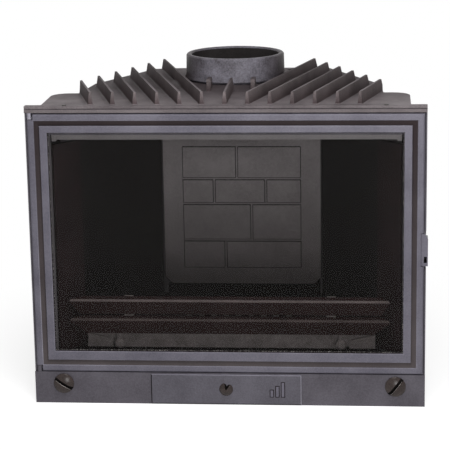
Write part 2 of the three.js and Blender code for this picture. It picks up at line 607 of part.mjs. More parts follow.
function hearthPlate() {
  const low = BASE_HEIGHT + SEAT_GAP;
  const rim = GRATE_SEAT;
  const plate = slab(bodyPlan(0, BODY_FRONT), low, HEARTH_TOP);
  const through = block(rim - GRATE_HALF_WIDTH, GRATE_HALF_WIDTH - rim, GRATE_FRONT + rim, GRATE_BACK - rim,
    low - CUT_OVER, HEARTH_TOP + CUT_OVER);
  const rebate = block(-GRATE_HALF_WIDTH, GRATE_HALF_WIDTH, GRATE_FRONT, GRATE_BACK,
    low + GRATE_LEDGE, HEARTH_TOP + CUT_OVER);
  const ledge = block(-LEDGE_HALF_WIDTH, LEDGE_HALF_WIDTH, FIREBACK_SETBACK,
    FIREBACK_SETBACK + LEDGE_DEPTH, HEARTH_TOP - 1, FIREBACK_BOTTOM - SEAT_GAP);
  return cut(join(plate, ledge), through, rebate);
}

// vertical ribs along the straight flank of the right wall
function flankRibs(zLow, zHigh) {
  const [fromX, fromY] = [FLANK_HALF_WIDTH, FLANK_BACK];
  const [alongX, alongY] = [TAIL_HALF_WIDTH - fromX, BACK_JOINT - fromY];
  const length = Math.hypot(alongX, alongY);
  const step = (length - 2 * WALL_RIB_MARGIN) / (WALL_RIB_COUNT - 1);
  return Array.from({ length: WALL_RIB_COUNT }, (_, i) => {
    const way = WALL_RIB_MARGIN + i * step;
    const rib = new THREE.BoxGeometry(WALL_RIB_WIDTH, 2 * WALL_RIB_DEPTH, zHigh - zLow);
    rib.rotateZ(Math.atan2(alongY, alongX));
    rib.translate(fromX + (alongX * way) / length, fromY + (alongY * way) / length, (zLow + zHigh) / 2);
    return solidOf(rib);
  });
}

// the same ribs across the back wall
function backRibs(zLow, zHigh) {
  return Array.from({ length: BACK_RIB_COUNT }, (_, i) => {
    const x = (i - (BACK_RIB_COUNT - 1) / 2) * BACK_RIB_PITCH;
    return block(x - WALL_RIB_WIDTH / 2, x + WALL_RIB_WIDTH / 2,
      TAIL_END - IRON / 2, TAIL_END + WALL_RIB_DEPTH, zLow, zHigh);
  });
}

function rightWall() {
  const low = HEARTH_TOP + SEAT_GAP;
  const keep = block(0, 2 * FACE_WIDTH, BODY_FRONT - CUT_OVER, BACK_JOINT, low - CUT_OVER, FACE_HEIGHT);
  return join(wallRing(low, FACADE_TOP), ...flankRibs(low, FACADE_TOP)).intersect(keep);
}

function roofLugs() {
  return [-1, 1].map((side) => block(side * ROOF_SCREW_BACK_SPREAD - ROOF_LUG / 2,
    side * ROOF_SCREW_BACK_SPREAD + ROOF_LUG / 2, TAIL_END - IRON - ROOF_LUG, TAIL_END - IRON / 2,
    FACADE_TOP - ROOF_LUG_HEIGHT, FACADE_TOP));
}

const backScrewY = TAIL_END - IRON - ROOF_LUG / 2;

function backWall() {
  const low = HEARTH_TOP + SEAT_GAP;
  const keep = block(
    -FACE_WIDTH, FACE_WIDTH, BACK_JOINT + SEAT_GAP, 2 * TAIL_END, low - CUT_OVER, FACE_HEIGHT);
  const screwHoles = [-1, 1].map((side) => turned(
    disc(ROOF_SCREW_RADIUS + PIN_GAP, FACADE_TOP - ROOF_SCREW_LENGTH - CUT_OVER, FACADE_TOP + CUT_OVER),
    side * ROOF_SCREW_BACK_SPREAD, backScrewY, 16));
  const wall = wallRing(low, FACADE_TOP).intersect(keep);
  return cut(join(wall, ...roofLugs(), ...backRibs(low, FACADE_TOP)), ...screwHoles);
}

// ---------------------------------------------------------------- roof with its fins
// fin that leans outwards to the right, with the top of its back end drawn forward
function slantedFin(index, leanDegrees) {
  const lean = THREE.MathUtils.degToRad(leanDegrees);
  const length = (FIN_SHORTEST + index * FIN_STEP) / Math.cos(lean);
  const section = [[-FIN_FOOT / 2, -FIN_ROOT], [FIN_FOOT / 2, -FIN_ROOT], [FIN_TOP / 2, FIN_HEIGHT],
    [-FIN_TOP / 2, FIN_HEIGHT]];
  const fin = extruded(section, length);
  const corners = fin.getAttribute('position');
  for (let i = 0; i < corners.count; i += 1) {
    if (corners.getY(i) > 0 && corners.getZ(i) > length / 2) corners.setZ(i, length - FIN_END_SLOPE);
  }
  fin.rotateX(Math.PI / 2).rotateZ(Math.PI - lean);
  const front = FIN_INNER_OFFSET + (FIN_COUNT - 1 - index) * FIN_PITCH;
  return solidOf(fin.translate(front, FIN_SETBACK, FACE_HEIGHT));
}

// the slanted fins of both sides, ended by the edge of the roof plate
function slantedFins() {
  const onPlate = slab(bodyPlan(ROOF_OVERHANG, 0), FACE_HEIGHT - ROOF_PLATE, FACE_HEIGHT + 2 * FIN_HEIGHT);
  const [leftLean, rightLean] = FIN_LEANS;
  return Array.from({ length: FIN_COUNT }, (_, i) => i).flatMap((i) => [
    flip(slantedFin(i, leftLean)).intersect(onPlate), slantedFin(i, rightLean).intersect(onPlate)]);
}

function middleFin() {
  const back = FLUE_SETBACK - COLLAR_FOOT_RADIUS - SEAT_GAP;
  const section = [[-FIN_FOOT / 2, FACE_HEIGHT - FIN_ROOT], [FIN_FOOT / 2, FACE_HEIGHT - FIN_ROOT],
    [FIN_TOP / 2, FACE_HEIGHT + FIN_HEIGHT], [-FIN_TOP / 2, FACE_HEIGHT + FIN_HEIGHT]];
  return panel(section, FIN_SETBACK, back);
}

function stubFins() {
  const wall = FLUE_SETBACK - Math.sqrt(COLLAR_FOOT_RADIUS ** 2 - STUB_SPREAD ** 2);
  return [-1, 1].map((side) => block(side * STUB_SPREAD - FIN_TOP, side * STUB_SPREAD + FIN_TOP,
    FLUE_SETBACK - STUB_REACH, wall, FACE_HEIGHT - FIN_ROOT, FACE_HEIGHT + FIN_HEIGHT));
}

function topDome() {
  const low = FACE_HEIGHT - ROOF_PLATE;
  const lip = profile([[0, FACE_HEIGHT], [0, low + ROOF_LIP_CHAMFER], [ROOF_LIP_CHAMFER, low],
    [ROOF_LIP_DEPTH, low], [ROOF_LIP_DEPTH, FACE_HEIGHT]], -HALF_FACE, HALF_FACE);
  const plate = slab(bodyPlan(ROOF_OVERHANG, ROOF_LIP_DEPTH / 2), low, FACE_HEIGHT);
  const boss = turned([[0, low], [BOSS_FOOT_RADIUS, low], [BOSS_FOOT_RADIUS, FACE_HEIGHT],
    [BOSS_TOP_RADIUS, BOSS_TOP], [0, BOSS_TOP]], 0, FLUE_SETBACK);
  const casting = join(plate, lip, boss, ...slantedFins(), middleFin(), ...stubFins());
  const bore = turned(disc(SPIGOT_RADIUS + PIN_GAP, low - CUT_OVER, BOSS_TOP + CUT_OVER), 0, FLUE_SETBACK);
  const collarRoom = turned(
    disc(COLLAR_FOOT_RADIUS + SEAT_GAP, BOSS_TOP, COLLAR_RIM), 0, FLUE_SETBACK);
  const screwHole = disc(ROOF_SCREW_RADIUS + PIN_GAP, low - CUT_OVER, FACE_HEIGHT + CUT_OVER);
  const screwHoles = [-1, 1].flatMap((side) => [
    turned(screwHole, side * ROOF_SCREW_SPREAD, ROOF_SCREW_SETBACK, 16),
    turned(screwHole, side * ROOF_SCREW_BACK_SPREAD, backScrewY, 16),
  ]);
  return cut(casting, bore, collarRoom, ...screwHoles);
}

function flueCollar() {
  const seat = BOSS_TOP + SEAT_GAP;
  const foot = seat + COLLAR_NECK_HEIGHT;
  const neck = SPIGOT_RADIUS + COLLAR_NECK_WALL;
  const rimRound = (COLLAR_TOP_RADIUS - FLUE_BORE) / 4;
  return turned([
    [FLUE_BORE, BOSS_TOP - SPIGOT_LENGTH], [SPIGOT_RADIUS, BOSS_TOP - SPIGOT_LENGTH], [SPIGOT_RADIUS, seat],
    [neck, seat], [neck, foot], [COLLAR_FOOT_RADIUS, foot],
    [COLLAR_TOP_RADIUS + COLLAR_FOOT_EDGE, foot + COLLAR_FOOT_FLARE],
    [COLLAR_TOP_RADIUS, COLLAR_RIM - rimRound], [COLLAR_TOP_RADIUS - rimRound, COLLAR_RIM],
    [FLUE_BORE + rimRound, COLLAR_RIM], [FLUE_BORE, COLLAR_RIM - rimRound],
    [FLUE_BORE, BOSS_TOP - SPIGOT_LENGTH],
  ], 0, FLUE_SETBACK, 64);
}

// ---------------------------------------------------------------- firebox lining
const LINER_PATH = [
  [CHEEK_FRONT_HALF_WIDTH, CHEEK_FRONT], [CHEEK_HALF_WIDTH, CHEEK_BACK],
  [LINER_END_HALF_WIDTH, FIREBACK_SETBACK - SEAT_GAP],
];

// half width of the firebox at a depth behind the cheeks
function fireboxHalfWidth(depth) {
  const share = (depth - CHEEK_BACK) / (FIREBACK_SETBACK - CHEEK_BACK);
  return THREE.MathUtils.lerp(CHEEK_HALF_WIDTH, LINER_END_HALF_WIDTH, share);
}

function rightLiner() {
  const outer = parallel(LINER_PATH, -LINER_THICKNESS);
  const low = HEARTH_TOP + SEAT_GAP;
  const [front, back] = [LINER_PATH[0][1], LINER_PATH[2][1]];
  const keep = block(0, FACE_WIDTH, front, back, low - CUT_OVER, LINER_TOP + CUT_OVER);
  const room = slab(bodyPlan(-IRON - SEAT_GAP, BODY_FRONT), low - CUT_OVER, LINER_TOP + CUT_OVER);
  return slab([...LINER_PATH, ...outer.reverse()], low, LINER_TOP).intersect(keep).intersect(room);
}

function fireback() {
  const plate = panel([
    [FIREBACK_CHAMFER - FIREBACK_HALF_WIDTH, FIREBACK_BOTTOM],
    [FIREBACK_HALF_WIDTH - FIREBACK_CHAMFER, FIREBACK_BOTTOM],
    [FIREBACK_HALF_WIDTH, FIREBACK_BOTTOM + FIREBACK_CHAMFER], [FIREBACK_HALF_WIDTH, LINER_TOP],
    [-FIREBACK_HALF_WIDTH, LINER_TOP], [-FIREBACK_HALF_WIDTH, FIREBACK_BOTTOM + FIREBACK_CHAMFER],
  ], FIREBACK_SETBACK, FIREBACK_SETBACK + FIREBACK_THICKNESS);
  const blocks = [];
  let low = RELIEF_BOTTOM;
  RELIEF_COURSES.forEach((height, course) => {
    const edges = [0, ...RELIEF_SPLITS[course], 1].map((share) => (2 * share - 1) * RELIEF_HALF_WIDTH);
    edges.slice(1).forEach((right, i) => blocks.push(block(
      edges[i] + RELIEF_JOINT / 2, right - RELIEF_JOINT / 2, FIREBACK_SETBACK - RELIEF_HEIGHT,
      FIREBACK_SETBACK + FIREBACK_THICKNESS / 2, low + RELIEF_JOINT, low + height)));
    low += height;
  });
  return join(plate, ...blocks);
}

function bafflePlate() {
  const low = LINER_TOP + SEAT_GAP;
  const back = FIREBACK_SETBACK + FIREBACK_THICKNESS;
  const front = fireboxHalfWidth(BAFFLE_FRONT) + BAFFLE_SEAT;
  const rear = fireboxHalfWidth(FIREBACK_SETBACK) + BAFFLE_SEAT;
  return slab([[-front, BAFFLE_FRONT], [front, BAFFLE_FRONT], [rear, FIREBACK_SETBACK], [rear, back],
    [-rear, back], [-rear, FIREBACK_SETBACK]], low, low + BAFFLE_THICKNESS);
}

function fireGrate() {
  const gap = 2 * SEAT_GAP;
  const low = BASE_HEIGHT + SEAT_GAP + GRATE_LEDGE + SEAT_GAP;
  const half = GRATE_HALF_WIDTH - gap;
  const plate = block(-half, half, GRATE_FRONT + gap, GRATE_BACK - gap, low, low + GRATE_THICKNESS);
  const pitch = GRATE_SLOT + GRATE_BAR;
  const count = Math.floor((2 * half - 2 * GRATE_SEAT) / pitch);
  const slots = Array.from({ length: count }, (_, i) => {
    const x = (i - (count - 1) / 2) * pitch;
    return block(x - GRATE_SLOT / 2, x + GRATE_SLOT / 2, GRATE_FRONT + GRATE_END, GRATE_BACK - GRATE_END,
      low - CUT_OVER, low + GRATE_THICKNESS + CUT_OVER);
  });
  return cut(plate, ...slots);
}

// upright box whose walls lean outwards towards the top
function flaredBox(x, y0, y1, z0, z1, flare) {
  const box = new THREE.BoxGeometry(2 * x, y1 - y0, z1 - z0);
  const corners = box.getAttribute('position');
  for (let i = 0; i < corners.count; i += 1) {
    if (corners.getZ(i) > 0) continue;
    corners.setX(i, corners.getX(i) - Math.sign(corners.getX(i)) * flare);
    corners.setY(i, corners.getY(i) - Math.sign(corners.getY(i)) * flare);
  }
  return solidOf(box.translate(0, (y0 + y1) / 2, (z0 + z1) / 2));
}

function ashPan() {
  const low = BASE_PLATE + SEAT_GAP;
  const top = low + PAN_HEIGHT;
  const rim = PAN_WALL * 2;
  const half = PAN_HALF_WIDTH + rim;
  const tray = join(flaredBox(PAN_HALF_WIDTH, PAN_FRONT, PAN_BACK, low, top, PAN_FLARE),
    block(-half, half, PAN_FRONT - rim, PAN_BACK + rim, top - PAN_WALL, top));
  const share = (top + CUT_OVER - low - PAN_WALL) / PAN_HEIGHT;
  return cut(tray, flaredBox(PAN_HALF_WIDTH - PAN_WALL, PAN_FRONT + PAN_WALL, PAN_BACK - PAN_WALL,
    low + PAN_WALL, top + CUT_OVER, PAN_FLARE * share));
}

function airwashDeflector() {
  const front = BODY_FRONT;
  const strip = profile([
    [front, AIRWASH_BOTTOM], [front + AIRWASH_LEG, AIRWASH_BOTTOM + AIRWASH_LEG / 2],
    [front + AIRWASH_LEG, AIRWASH_BOTTOM + AIRWASH_LEG / 2 + AIRWASH_SHEET],
    [front + AIRWASH_SHEET, AIRWASH_BOTTOM + 2 * AIRWASH_SHEET], [front + AIRWASH_SHEET, AIRWASH_TOP],
    [front, AIRWASH_TOP],
  ], -AIRWASH_HALF_WIDTH, AIRWASH_HALF_WIDTH);
  const padMiddle = AIRWASH_HALF_WIDTH - AIRWASH_END / 2;
  const pads = [-1, 1].map((side) => block(
    side * padMiddle - AIRWASH_END / 2, side * padMiddle + AIRWASH_END / 2,
    front - AIRWASH_END_PROUD, front + AIRWASH_SHEET,
    AIRWASH_BOTTOM - AIRWASH_END_PROUD, OPENING_TOP - SEAT_GAP));
  const holes = [-1, 1].map((side) => turnedFlat(
    disc(AIRWASH_SCREW_RADIUS + PIN_GAP, front - CUT_OVER, front + AIRWASH_SHEET + CUT_OVER),
    side * AIRWASH_SCREW_SPREAD, (OPENING_TOP + AIRWASH_TOP) / 2, 16));
  return cut(join(strip, ...pads), ...holes);
}

// screw with its head at a given depth and its shank running towards the face
function screwTowardsFace(head, x, z, headRadius, headHeight, shankRadius, shankLength) {
  const points = screwProfile(headRadius, headHeight, shankRadius, shankLength);
  return turnedFlat(points.map(([r, y]) => [r, y + head]), x, z, 16);
}

// ---------------------------------------------------------------- hearth sill
function hearthSill() {
  const low = HEARTH_TOP + SEAT_GAP;
  const slope = (SILL_CREST - SILL_FRONT) / (SILL_TOP - low);
  const depthAt = (z) => SILL_FRONT + slope * (z - low);
  const bar = profile([[SILL_FRONT, low], [SILL_BACK, low], [SILL_BACK, SILL_TOP], [SILL_CREST, SILL_TOP]],
    -SILL_HALF_WIDTH, SILL_HALF_WIDTH);
  const room = slab(bothSides(parallel(LINER_PATH, SILL_SIDE_GAP)), low - CUT_OVER, SILL_TOP + CUT_OVER);
  const archBack = SILL_ARCH_BACK + SILL_WEDGE_WIDTH;
  const arches = [-1, 1].map((side) => join(
    turnedFlat(disc(SILL_ARCH_RADIUS, SILL_FRONT - CUT_OVER, archBack),
      side * SILL_ARCH_SPREAD, SILL_ARCH_HEIGHT, 24),
    block(side * SILL_ARCH_SPREAD - SILL_ARCH_RADIUS, side * SILL_ARCH_SPREAD + SILL_ARCH_RADIUS,
      SILL_FRONT - CUT_OVER, archBack, low - CUT_OVER, SILL_ARCH_HEIGHT)));
  const bosses = [-1, 1].map((side) => turnedFlat(
    disc(SILL_BOSS_RADIUS, depthAt(SILL_ARCH_HEIGHT), archBack + CUT_OVER),
    side * SILL_ARCH_SPREAD, SILL_ARCH_HEIGHT - SILL_BOSS_DROP, 20));
  const inner = SILL_ARCH_SPREAD + SILL_ARCH_RADIUS + SILL_WEDGE_WIDTH;
  const outerZ = SILL_ARCH_HEIGHT;
  const innerZ = SILL_ARCH_HEIGHT - SILL_WEDGE_DROP;
  const wedge = panel([
    [inner, innerZ], [SILL_HALF_WIDTH, outerZ], [SILL_HALF_WIDTH, outerZ + SILL_WEDGE_WIDTH],
    [inner, innerZ + SILL_WEDGE_WIDTH / 2]], depthAt(innerZ) - SILL_WEDGE_RISE, SILL_CREST);
  return join(cut(bar, ...arches), ...bosses, wedge, flip(wedge)).intersect(room);
}

// ---------------------------------------------------------------- log guard
function guardBar(index) {
  const top = GUARD_TOP - index * GUARD_PITCH;
  const edge = top - GUARD_SHEET;
  const foot = edge - GUARD_FACE_HEIGHT;
  const toe = GUARD_FRONT + GUARD_FACE_LEAN;
  const bar = profile([
    [GUARD_FRONT, edge], [toe, foot], [toe + GUARD_SHEET_RUN, foot + GUARD_SHEET_RISE],
    [GUARD_FRONT + 1.5 * GUARD_SHEET_RUN, edge - GUARD_SHEET_RISE / 4],
    [GUARD_BACK, edge - GUARD_SHEET_RISE / 4], [GUARD_BACK, top],
    [GUARD_FRONT + GUARD_SHEET / 2, top - GUARD_SHEET / 4],
  ], -GUARD_HALF_WIDTH, GUARD_HALF_WIDTH);
  const plan = bothSides([
    [GUARD_HALF_WIDTH - GUARD_SHEET, GUARD_FRONT - CUT_OVER], [GUARD_HALF_WIDTH, GUARD_FRONT],
    [GUARD_HALF_WIDTH - GUARD_FLANGE, GUARD_BACK]]);
  const front = bothSides([
    [GUARD_HALF_WIDTH - GUARD_END_SLOPES[index], foot],
    ...arc(GUARD_HALF_WIDTH - GUARD_CORNER, top - GUARD_CORNER, GUARD_CORNER, 0, 90, 4)]);
  return bar.intersect(slab(plan, foot - CUT_OVER, top + CUT_OVER))
    .intersect(panel(front, GUARD_FRONT - CUT_OVER, GUARD_BACK + CUT_OVER));
}

function guardPostRight() {
  const back = GUARD_BACK + SEAT_GAP;
  const left = GUARD_POST_SPREAD - GUARD_POST_WIDTH / 2;
  const right = GUARD_POST_SPREAD + GUARD_POST_WIDTH / 2;
  const foot = HEARTH_TOP + SEAT_GAP;
  const jogLow = GUARD_TOP - GUARD_PITCH - GUARD_SHEET - GUARD_FACE_HEIGHT + SEAT_GAP;
  const legOutside = GUARD_FOOT_SPREAD + GUARD_LEG_WIDTH / 2;
  const behind = back + GUARD_POST_THICKNESS;
  const upright = block(left, right, back, behind, jogLow, GUARD_TOP);
  const jog = block(left, legOutside, back, behind, jogLow, jogLow + GUARD_JOG_HEIGHT);
  const leg = block(legOutside - GUARD_LEG_WIDTH, legOutside, back, behind, foot, jogLow + GUARD_JOG_HEIGHT);
  const eye = turnedFlat(disc(GUARD_EYE_RADIUS, back, behind), GUARD_FOOT_SPREAD, GUARD_PIN_HEIGHT, 24);
  const toe = GUARD_FRONT + GUARD_FACE_LEAN;
  const nub = block(left, right, toe, back + GUARD_POST_THICKNESS / 2,
    GUARD_TOP - GUARD_PITCH + SEAT_GAP, GUARD_TOP - GUARD_SHEET - GUARD_FACE_HEIGHT - SEAT_GAP);
  const bore = disc(GUARD_PIN_RADIUS + PIN_GAP, back - CUT_OVER, behind + CUT_OVER);
  const hole = turnedFlat(bore, GUARD_FOOT_SPREAD, GUARD_PIN_HEIGHT, 20);
  return cut(join(upright, jog, leg, eye, nub), hole);
}

function guardPinRight() {
  const seat = GUARD_BACK;
  const end = seat + SEAT_GAP + GUARD_POST_THICKNESS + CUT_OVER;
  return turnedFlat([
    [0, seat - GUARD_HEAD_THICKNESS], [GUARD_HEAD_RADIUS * 0.7, seat - GUARD_HEAD_THICKNESS],
    [GUARD_HEAD_RADIUS, seat - GUARD_HEAD_THICKNESS / 2], [GUARD_HEAD_RADIUS, seat],
    [GUARD_PIN_RADIUS, seat], [GUARD_PIN_RADIUS, end], [0, end],
  ], GUARD_FOOT_SPREAD, GUARD_PIN_HEIGHT, 24);
}

// ---------------------------------------------------------------- door
const DOOR_RECT = [-HALF_DOOR, HALF_DOOR, DOOR_BOTTOM, DOOR_TOP];
const GROOVE_OUTER = inset(DOOR_RECT, OUTER_BAND);
const GROOVE_INNER = inset(GROOVE_OUTER, GROOVE_WIDTH);
const SIGHT = inset(GROOVE_INNER, INNER_BAND_SIDE, INNER_BAND_BOTTOM, INNER_BAND_TOP);
const REBATE = inset(SIGHT, -GLASS_COVER);
const GLASS_FRONT = GLASS_LIP + SEAT_GAP + GASKET_THICKNESS + SEAT_GAP;

function doorFrame() {
  const round = DOOR_EDGE_ROUND;
  const edge = [0, 0.25, 0.5, 0.75, 1].map((share) => {
    const angle = share * (Math.PI / 2);
    return [inset(DOOR_RECT, round * (1 - Math.cos(angle))), round * (1 - Math.sin(angle))];
  });
  const channelOuter = inset(DOOR_RECT, ROPE_CHANNEL_INSET);
  const channelInner = inset(channelOuter, ROPE_CHANNEL_WIDTH);
  const frame = mitredFrame([
    [DOOR_RECT, DOOR_DEPTH], ...edge,
    [inset(GROOVE_OUTER, -BAND_EDGE), 0], [GROOVE_OUTER, BAND_EDGE], [GROOVE_INNER, GROOVE_DEPTH],
    [GROOVE_INNER, BAND_EDGE], [inset(GROOVE_INNER, BAND_EDGE), 0], [inset(SIGHT, -BAND_EDGE), 0],
    [SIGHT, BAND_EDGE], [SIGHT, GLASS_LIP], [REBATE, GLASS_LIP], [REBATE, DOOR_DEPTH],
    [channelInner, DOOR_DEPTH], [channelInner, DOOR_DEPTH - ROPE_CHANNEL_DEPTH],
    [channelOuter, DOOR_DEPTH - ROPE_CHANNEL_DEPTH], [channelOuter, DOOR_DEPTH],
  ]);
  const notchRight = NOTCH_WIDTH - HALF_DOOR;
  const notches = [
    [DOOR_BOTTOM - CUT_OVER, FASCIA_HEIGHT + KNUCKLE_HEIGHT + KNUCKLE_GAP],
    [LIP_UNDERSIDE - KNUCKLE_HEIGHT - KNUCKLE_GAP, DOOR_TOP + CUT_OVER],
  ].map(([low, high]) => block(-HALF_FACE, notchRight, -CUT_OVER, DOOR_DEPTH + CUT_OVER, low, high));
  const deep = HINGE_PIN_IN_DOOR + SEAT_GAP;
  const pinHoles = [
    [FASCIA_HEIGHT + KNUCKLE_HEIGHT, FASCIA_HEIGHT + KNUCKLE_HEIGHT + KNUCKLE_GAP + deep],
    [LIP_UNDERSIDE - KNUCKLE_HEIGHT - KNUCKLE_GAP - deep, LIP_UNDERSIDE - KNUCKLE_HEIGHT],
  ].map(([low, high]) => turned(disc(HINGE_PIN_RADIUS + PIN_GAP, low, high), HINGE_X, HINGE_SETBACK, 24));
  const slotHalf = LATCH_LENGTH / 2 + LATCH_SLOT_GAP;
  const [slotLow, slotHigh] = [LATCH_HEIGHT - slotHalf, LATCH_HEIGHT + slotHalf];
  const pocket = LATCH_BARREL_RADIUS + LATCH_BARREL_GAP;
  const latchSlot = join(
    turned(disc(pocket, slotLow, slotHigh), LATCH_X, LATCH_PIN_SETBACK, 32),
    block(LATCH_X - LATCH_POCKET_LIP, HALF_FACE, -CUT_OVER, DOOR_DEPTH + CUT_OVER, slotLow, slotHigh),
    block(LATCH_X - pocket, HALF_FACE, LATCH_PIN_SETBACK, DOOR_DEPTH + CUT_OVER, slotLow, slotHigh));
  const pinHalf = slotHalf + LATCH_PIN_IN_DOOR + SEAT_GAP;
  const latchPinHole = turned(
    disc(LATCH_PIN_RADIUS + PIN_GAP, LATCH_HEIGHT - pinHalf, LATCH_HEIGHT + pinHalf),
    LATCH_X, LATCH_PIN_SETBACK, 24);
  const clipHoles = clipPlaces().map(([side, z]) => turnedFlat(
    disc(CLIP_SCREW_RADIUS + PIN_GAP, DOOR_DEPTH - CLIP_SCREW_DEPTH - SEAT_GAP, DOOR_DEPTH + CUT_OVER),
    side * clipScrewX(), z, 16));
  return cut(frame, ...notches, ...pinHoles, latchSlot, latchPinHole, ...clipHoles);
}

function clipPlaces() {
  return [DOOR_BOTTOM + CLIP_INSET, DOOR_TOP - CLIP_INSET].flatMap((z) => [[-1, z], [1, z]]);
}

// screw midway on the ridge between the glass rebate and the rope channel
function clipScrewX() {
  return (REBATE[1] + DOOR_RECT[1] - ROPE_CHANNEL_INSET - ROPE_CHANNEL_WIDTH) / 2;
}

function doorRope() {
  const outer = inset(DOOR_RECT, ROPE_CHANNEL_INSET + SEAT_GAP);
  const wide = ROPE_CHANNEL_WIDTH - 2 * SEAT_GAP;
  const front = DOOR_DEPTH - ROPE_CHANNEL_DEPTH + SEAT_GAP;
  const back = SEAL_SETBACK - SEAT_GAP;
  const soft = wide / 4;
  return mitredFrame([
    [inset(outer, soft), front], [outer, front + soft], [outer, back - soft], [inset(outer, soft), back],
    [inset(outer, wide - soft), back], [inset(outer, wide), back - soft], [inset(outer, wide), front + soft],
    [inset(outer, wide - soft), front],
  ]);
}

function glassGasket() {
  const outer = inset(REBATE, SEAT_GAP);
  const inner = inset(SIGHT, GASKET_SHOW);
  const front = GLASS_LIP + SEAT_GAP;
  const back = front + GASKET_THICKNESS;
  return mitredFrame([[outer, front], [outer, back], [inner, back], [inner, front]]);
}

function doorGlass() {
  const [left, right, bottom, top] = inset(REBATE, GLASS_SIDE_GAP);
  return block(left, right, GLASS_FRONT, GLASS_FRONT + GLASS_THICKNESS, bottom, top);
}

function glassClip(side, z) {
  const front = Math.max(DOOR_DEPTH, GLASS_FRONT + GLASS_THICKNESS) + SEAT_GAP;
  const inner = REBATE[1] - CLIP_GRIP;
  const outer = DOOR_RECT[1] - ROPE_CHANNEL_INSET - ROPE_CHANNEL_WIDTH - SEAT_GAP;
  const tab = block(Math.min(side * inner, side * outer), Math.max(side * inner, side * outer), front,
    front + CLIP_THICKNESS, z - CLIP_WIDTH / 2, z + CLIP_WIDTH / 2);
  const hole = disc(CLIP_SCREW_RADIUS + PIN_GAP, front - CUT_OVER, front + CLIP_THICKNESS + CUT_OVER);
  return cut(tab, turnedFlat(hole, side * clipScrewX(), z, 16));
}

function clipScrew(side, z) {
  const clipBack = Math.max(DOOR_DEPTH, GLASS_FRONT + GLASS_THICKNESS) + SEAT_GAP + CLIP_THICKNESS;
  const head = clipBack + SEAT_GAP;
  return screwTowardsFace(head, side * clipScrewX(), z, CLIP_HEAD_RADIUS, CLIP_HEAD_HEIGHT,
    CLIP_SCREW_RADIUS, head - DOOR_DEPTH + CLIP_SCREW_DEPTH);
}

// hinge pin that stands in its knuckle, with a collar in the gap to the door
function hingePin(fixedEnd, knuckleFace, towardsDoor) {
  const doorEnd = knuckleFace + towardsDoor * (KNUCKLE_GAP + HINGE_PIN_IN_DOOR);
  const collarNear = knuckleFace + towardsDoor * SEAT_GAP;
  const collarFar = knuckleFace + towardsDoor * (KNUCKLE_GAP - SEAT_GAP);
  return turned([
    [0, fixedEnd], [HINGE_PIN_RADIUS, fixedEnd], [HINGE_PIN_RADIUS, collarNear],
    [HINGE_COLLAR_RADIUS, collarNear], [HINGE_COLLAR_RADIUS, collarFar],
    [HINGE_PIN_RADIUS, collarFar], [HINGE_PIN_RADIUS, doorEnd], [0, doorEnd],
  ], HINGE_X, HINGE_SETBACK, 20);
}

// ---------------------------------------------------------------- latch
function latchLever() {
  const low = LATCH_HEIGHT - LATCH_LENGTH / 2;
  const high = LATCH_HEIGHT + LATCH_LENGTH / 2;
  const barrel = turned(disc(LATCH_BARREL_RADIUS, low, high), LATCH_X, LATCH_PIN_SETBACK, 28);
  const arm = panel([
    [LATCH_X, low], [LATCH_OUTSIDE, low], [LATCH_OUTSIDE, high - LATCH_SLOPE_HEIGHT],
    [LATCH_OUTSIDE - LATCH_SLOPE_WIDTH, high], [LATCH_X, high]], LATCH_ARM_FRONT, LATCH_ARM_BACK);
  const noseLow = LATCH_HEIGHT - LATCH_NOSE_HEIGHT / 2;
  const noseHigh = LATCH_HEIGHT + LATCH_NOSE_HEIGHT / 2;
  const toothFront = PLATE_BACK + LATCH_TOOTH_GAP;
  const shank = block(LATCH_OUTSIDE - LATCH_NOSE_THICKNESS, LATCH_OUTSIDE, LATCH_ARM_BACK - 1,
    toothFront + LATCH_TOOTH_DEPTH, noseLow, noseHigh);
  const tooth = block(LATCH_OUTSIDE - LATCH_NOSE_THICKNESS - LATCH_TOOTH_REACH, LATCH_OUTSIDE, toothFront,
    toothFront + LATCH_TOOTH_DEPTH, noseLow, noseHigh);
  const pinHole = turned(disc(LATCH_PIN_RADIUS + PIN_GAP, low - CUT_OVER, high + CUT_OVER),
    LATCH_X, LATCH_PIN_SETBACK, 20);
  const holeRight = LATCH_OUTSIDE - TOOL_HOLE_WALL;
  const holeMiddle = LATCH_HEIGHT - TOOL_HOLE_DROP;
  const toolHole = block(holeRight - TOOL_HOLE_WIDTH, holeRight, LATCH_ARM_FRONT - CUT_OVER,
    LATCH_ARM_FRONT + TOOL_HOLE_DEPTH, holeMiddle - TOOL_HOLE_HEIGHT / 2, holeMiddle + TOOL_HOLE_HEIGHT / 2);
  return cut(join(barrel, arm, shank, tooth), pinHole, toolHole);
}

function latchPin() {
  const half = LATCH_LENGTH / 2 + LATCH_SLOT_GAP + LATCH_PIN_IN_DOOR;
  const shank = disc(LATCH_PIN_RADIUS, LATCH_HEIGHT - half, LATCH_HEIGHT + half);
  return turned(shank, LATCH_X, LATCH_PIN_SETBACK, 20);
}

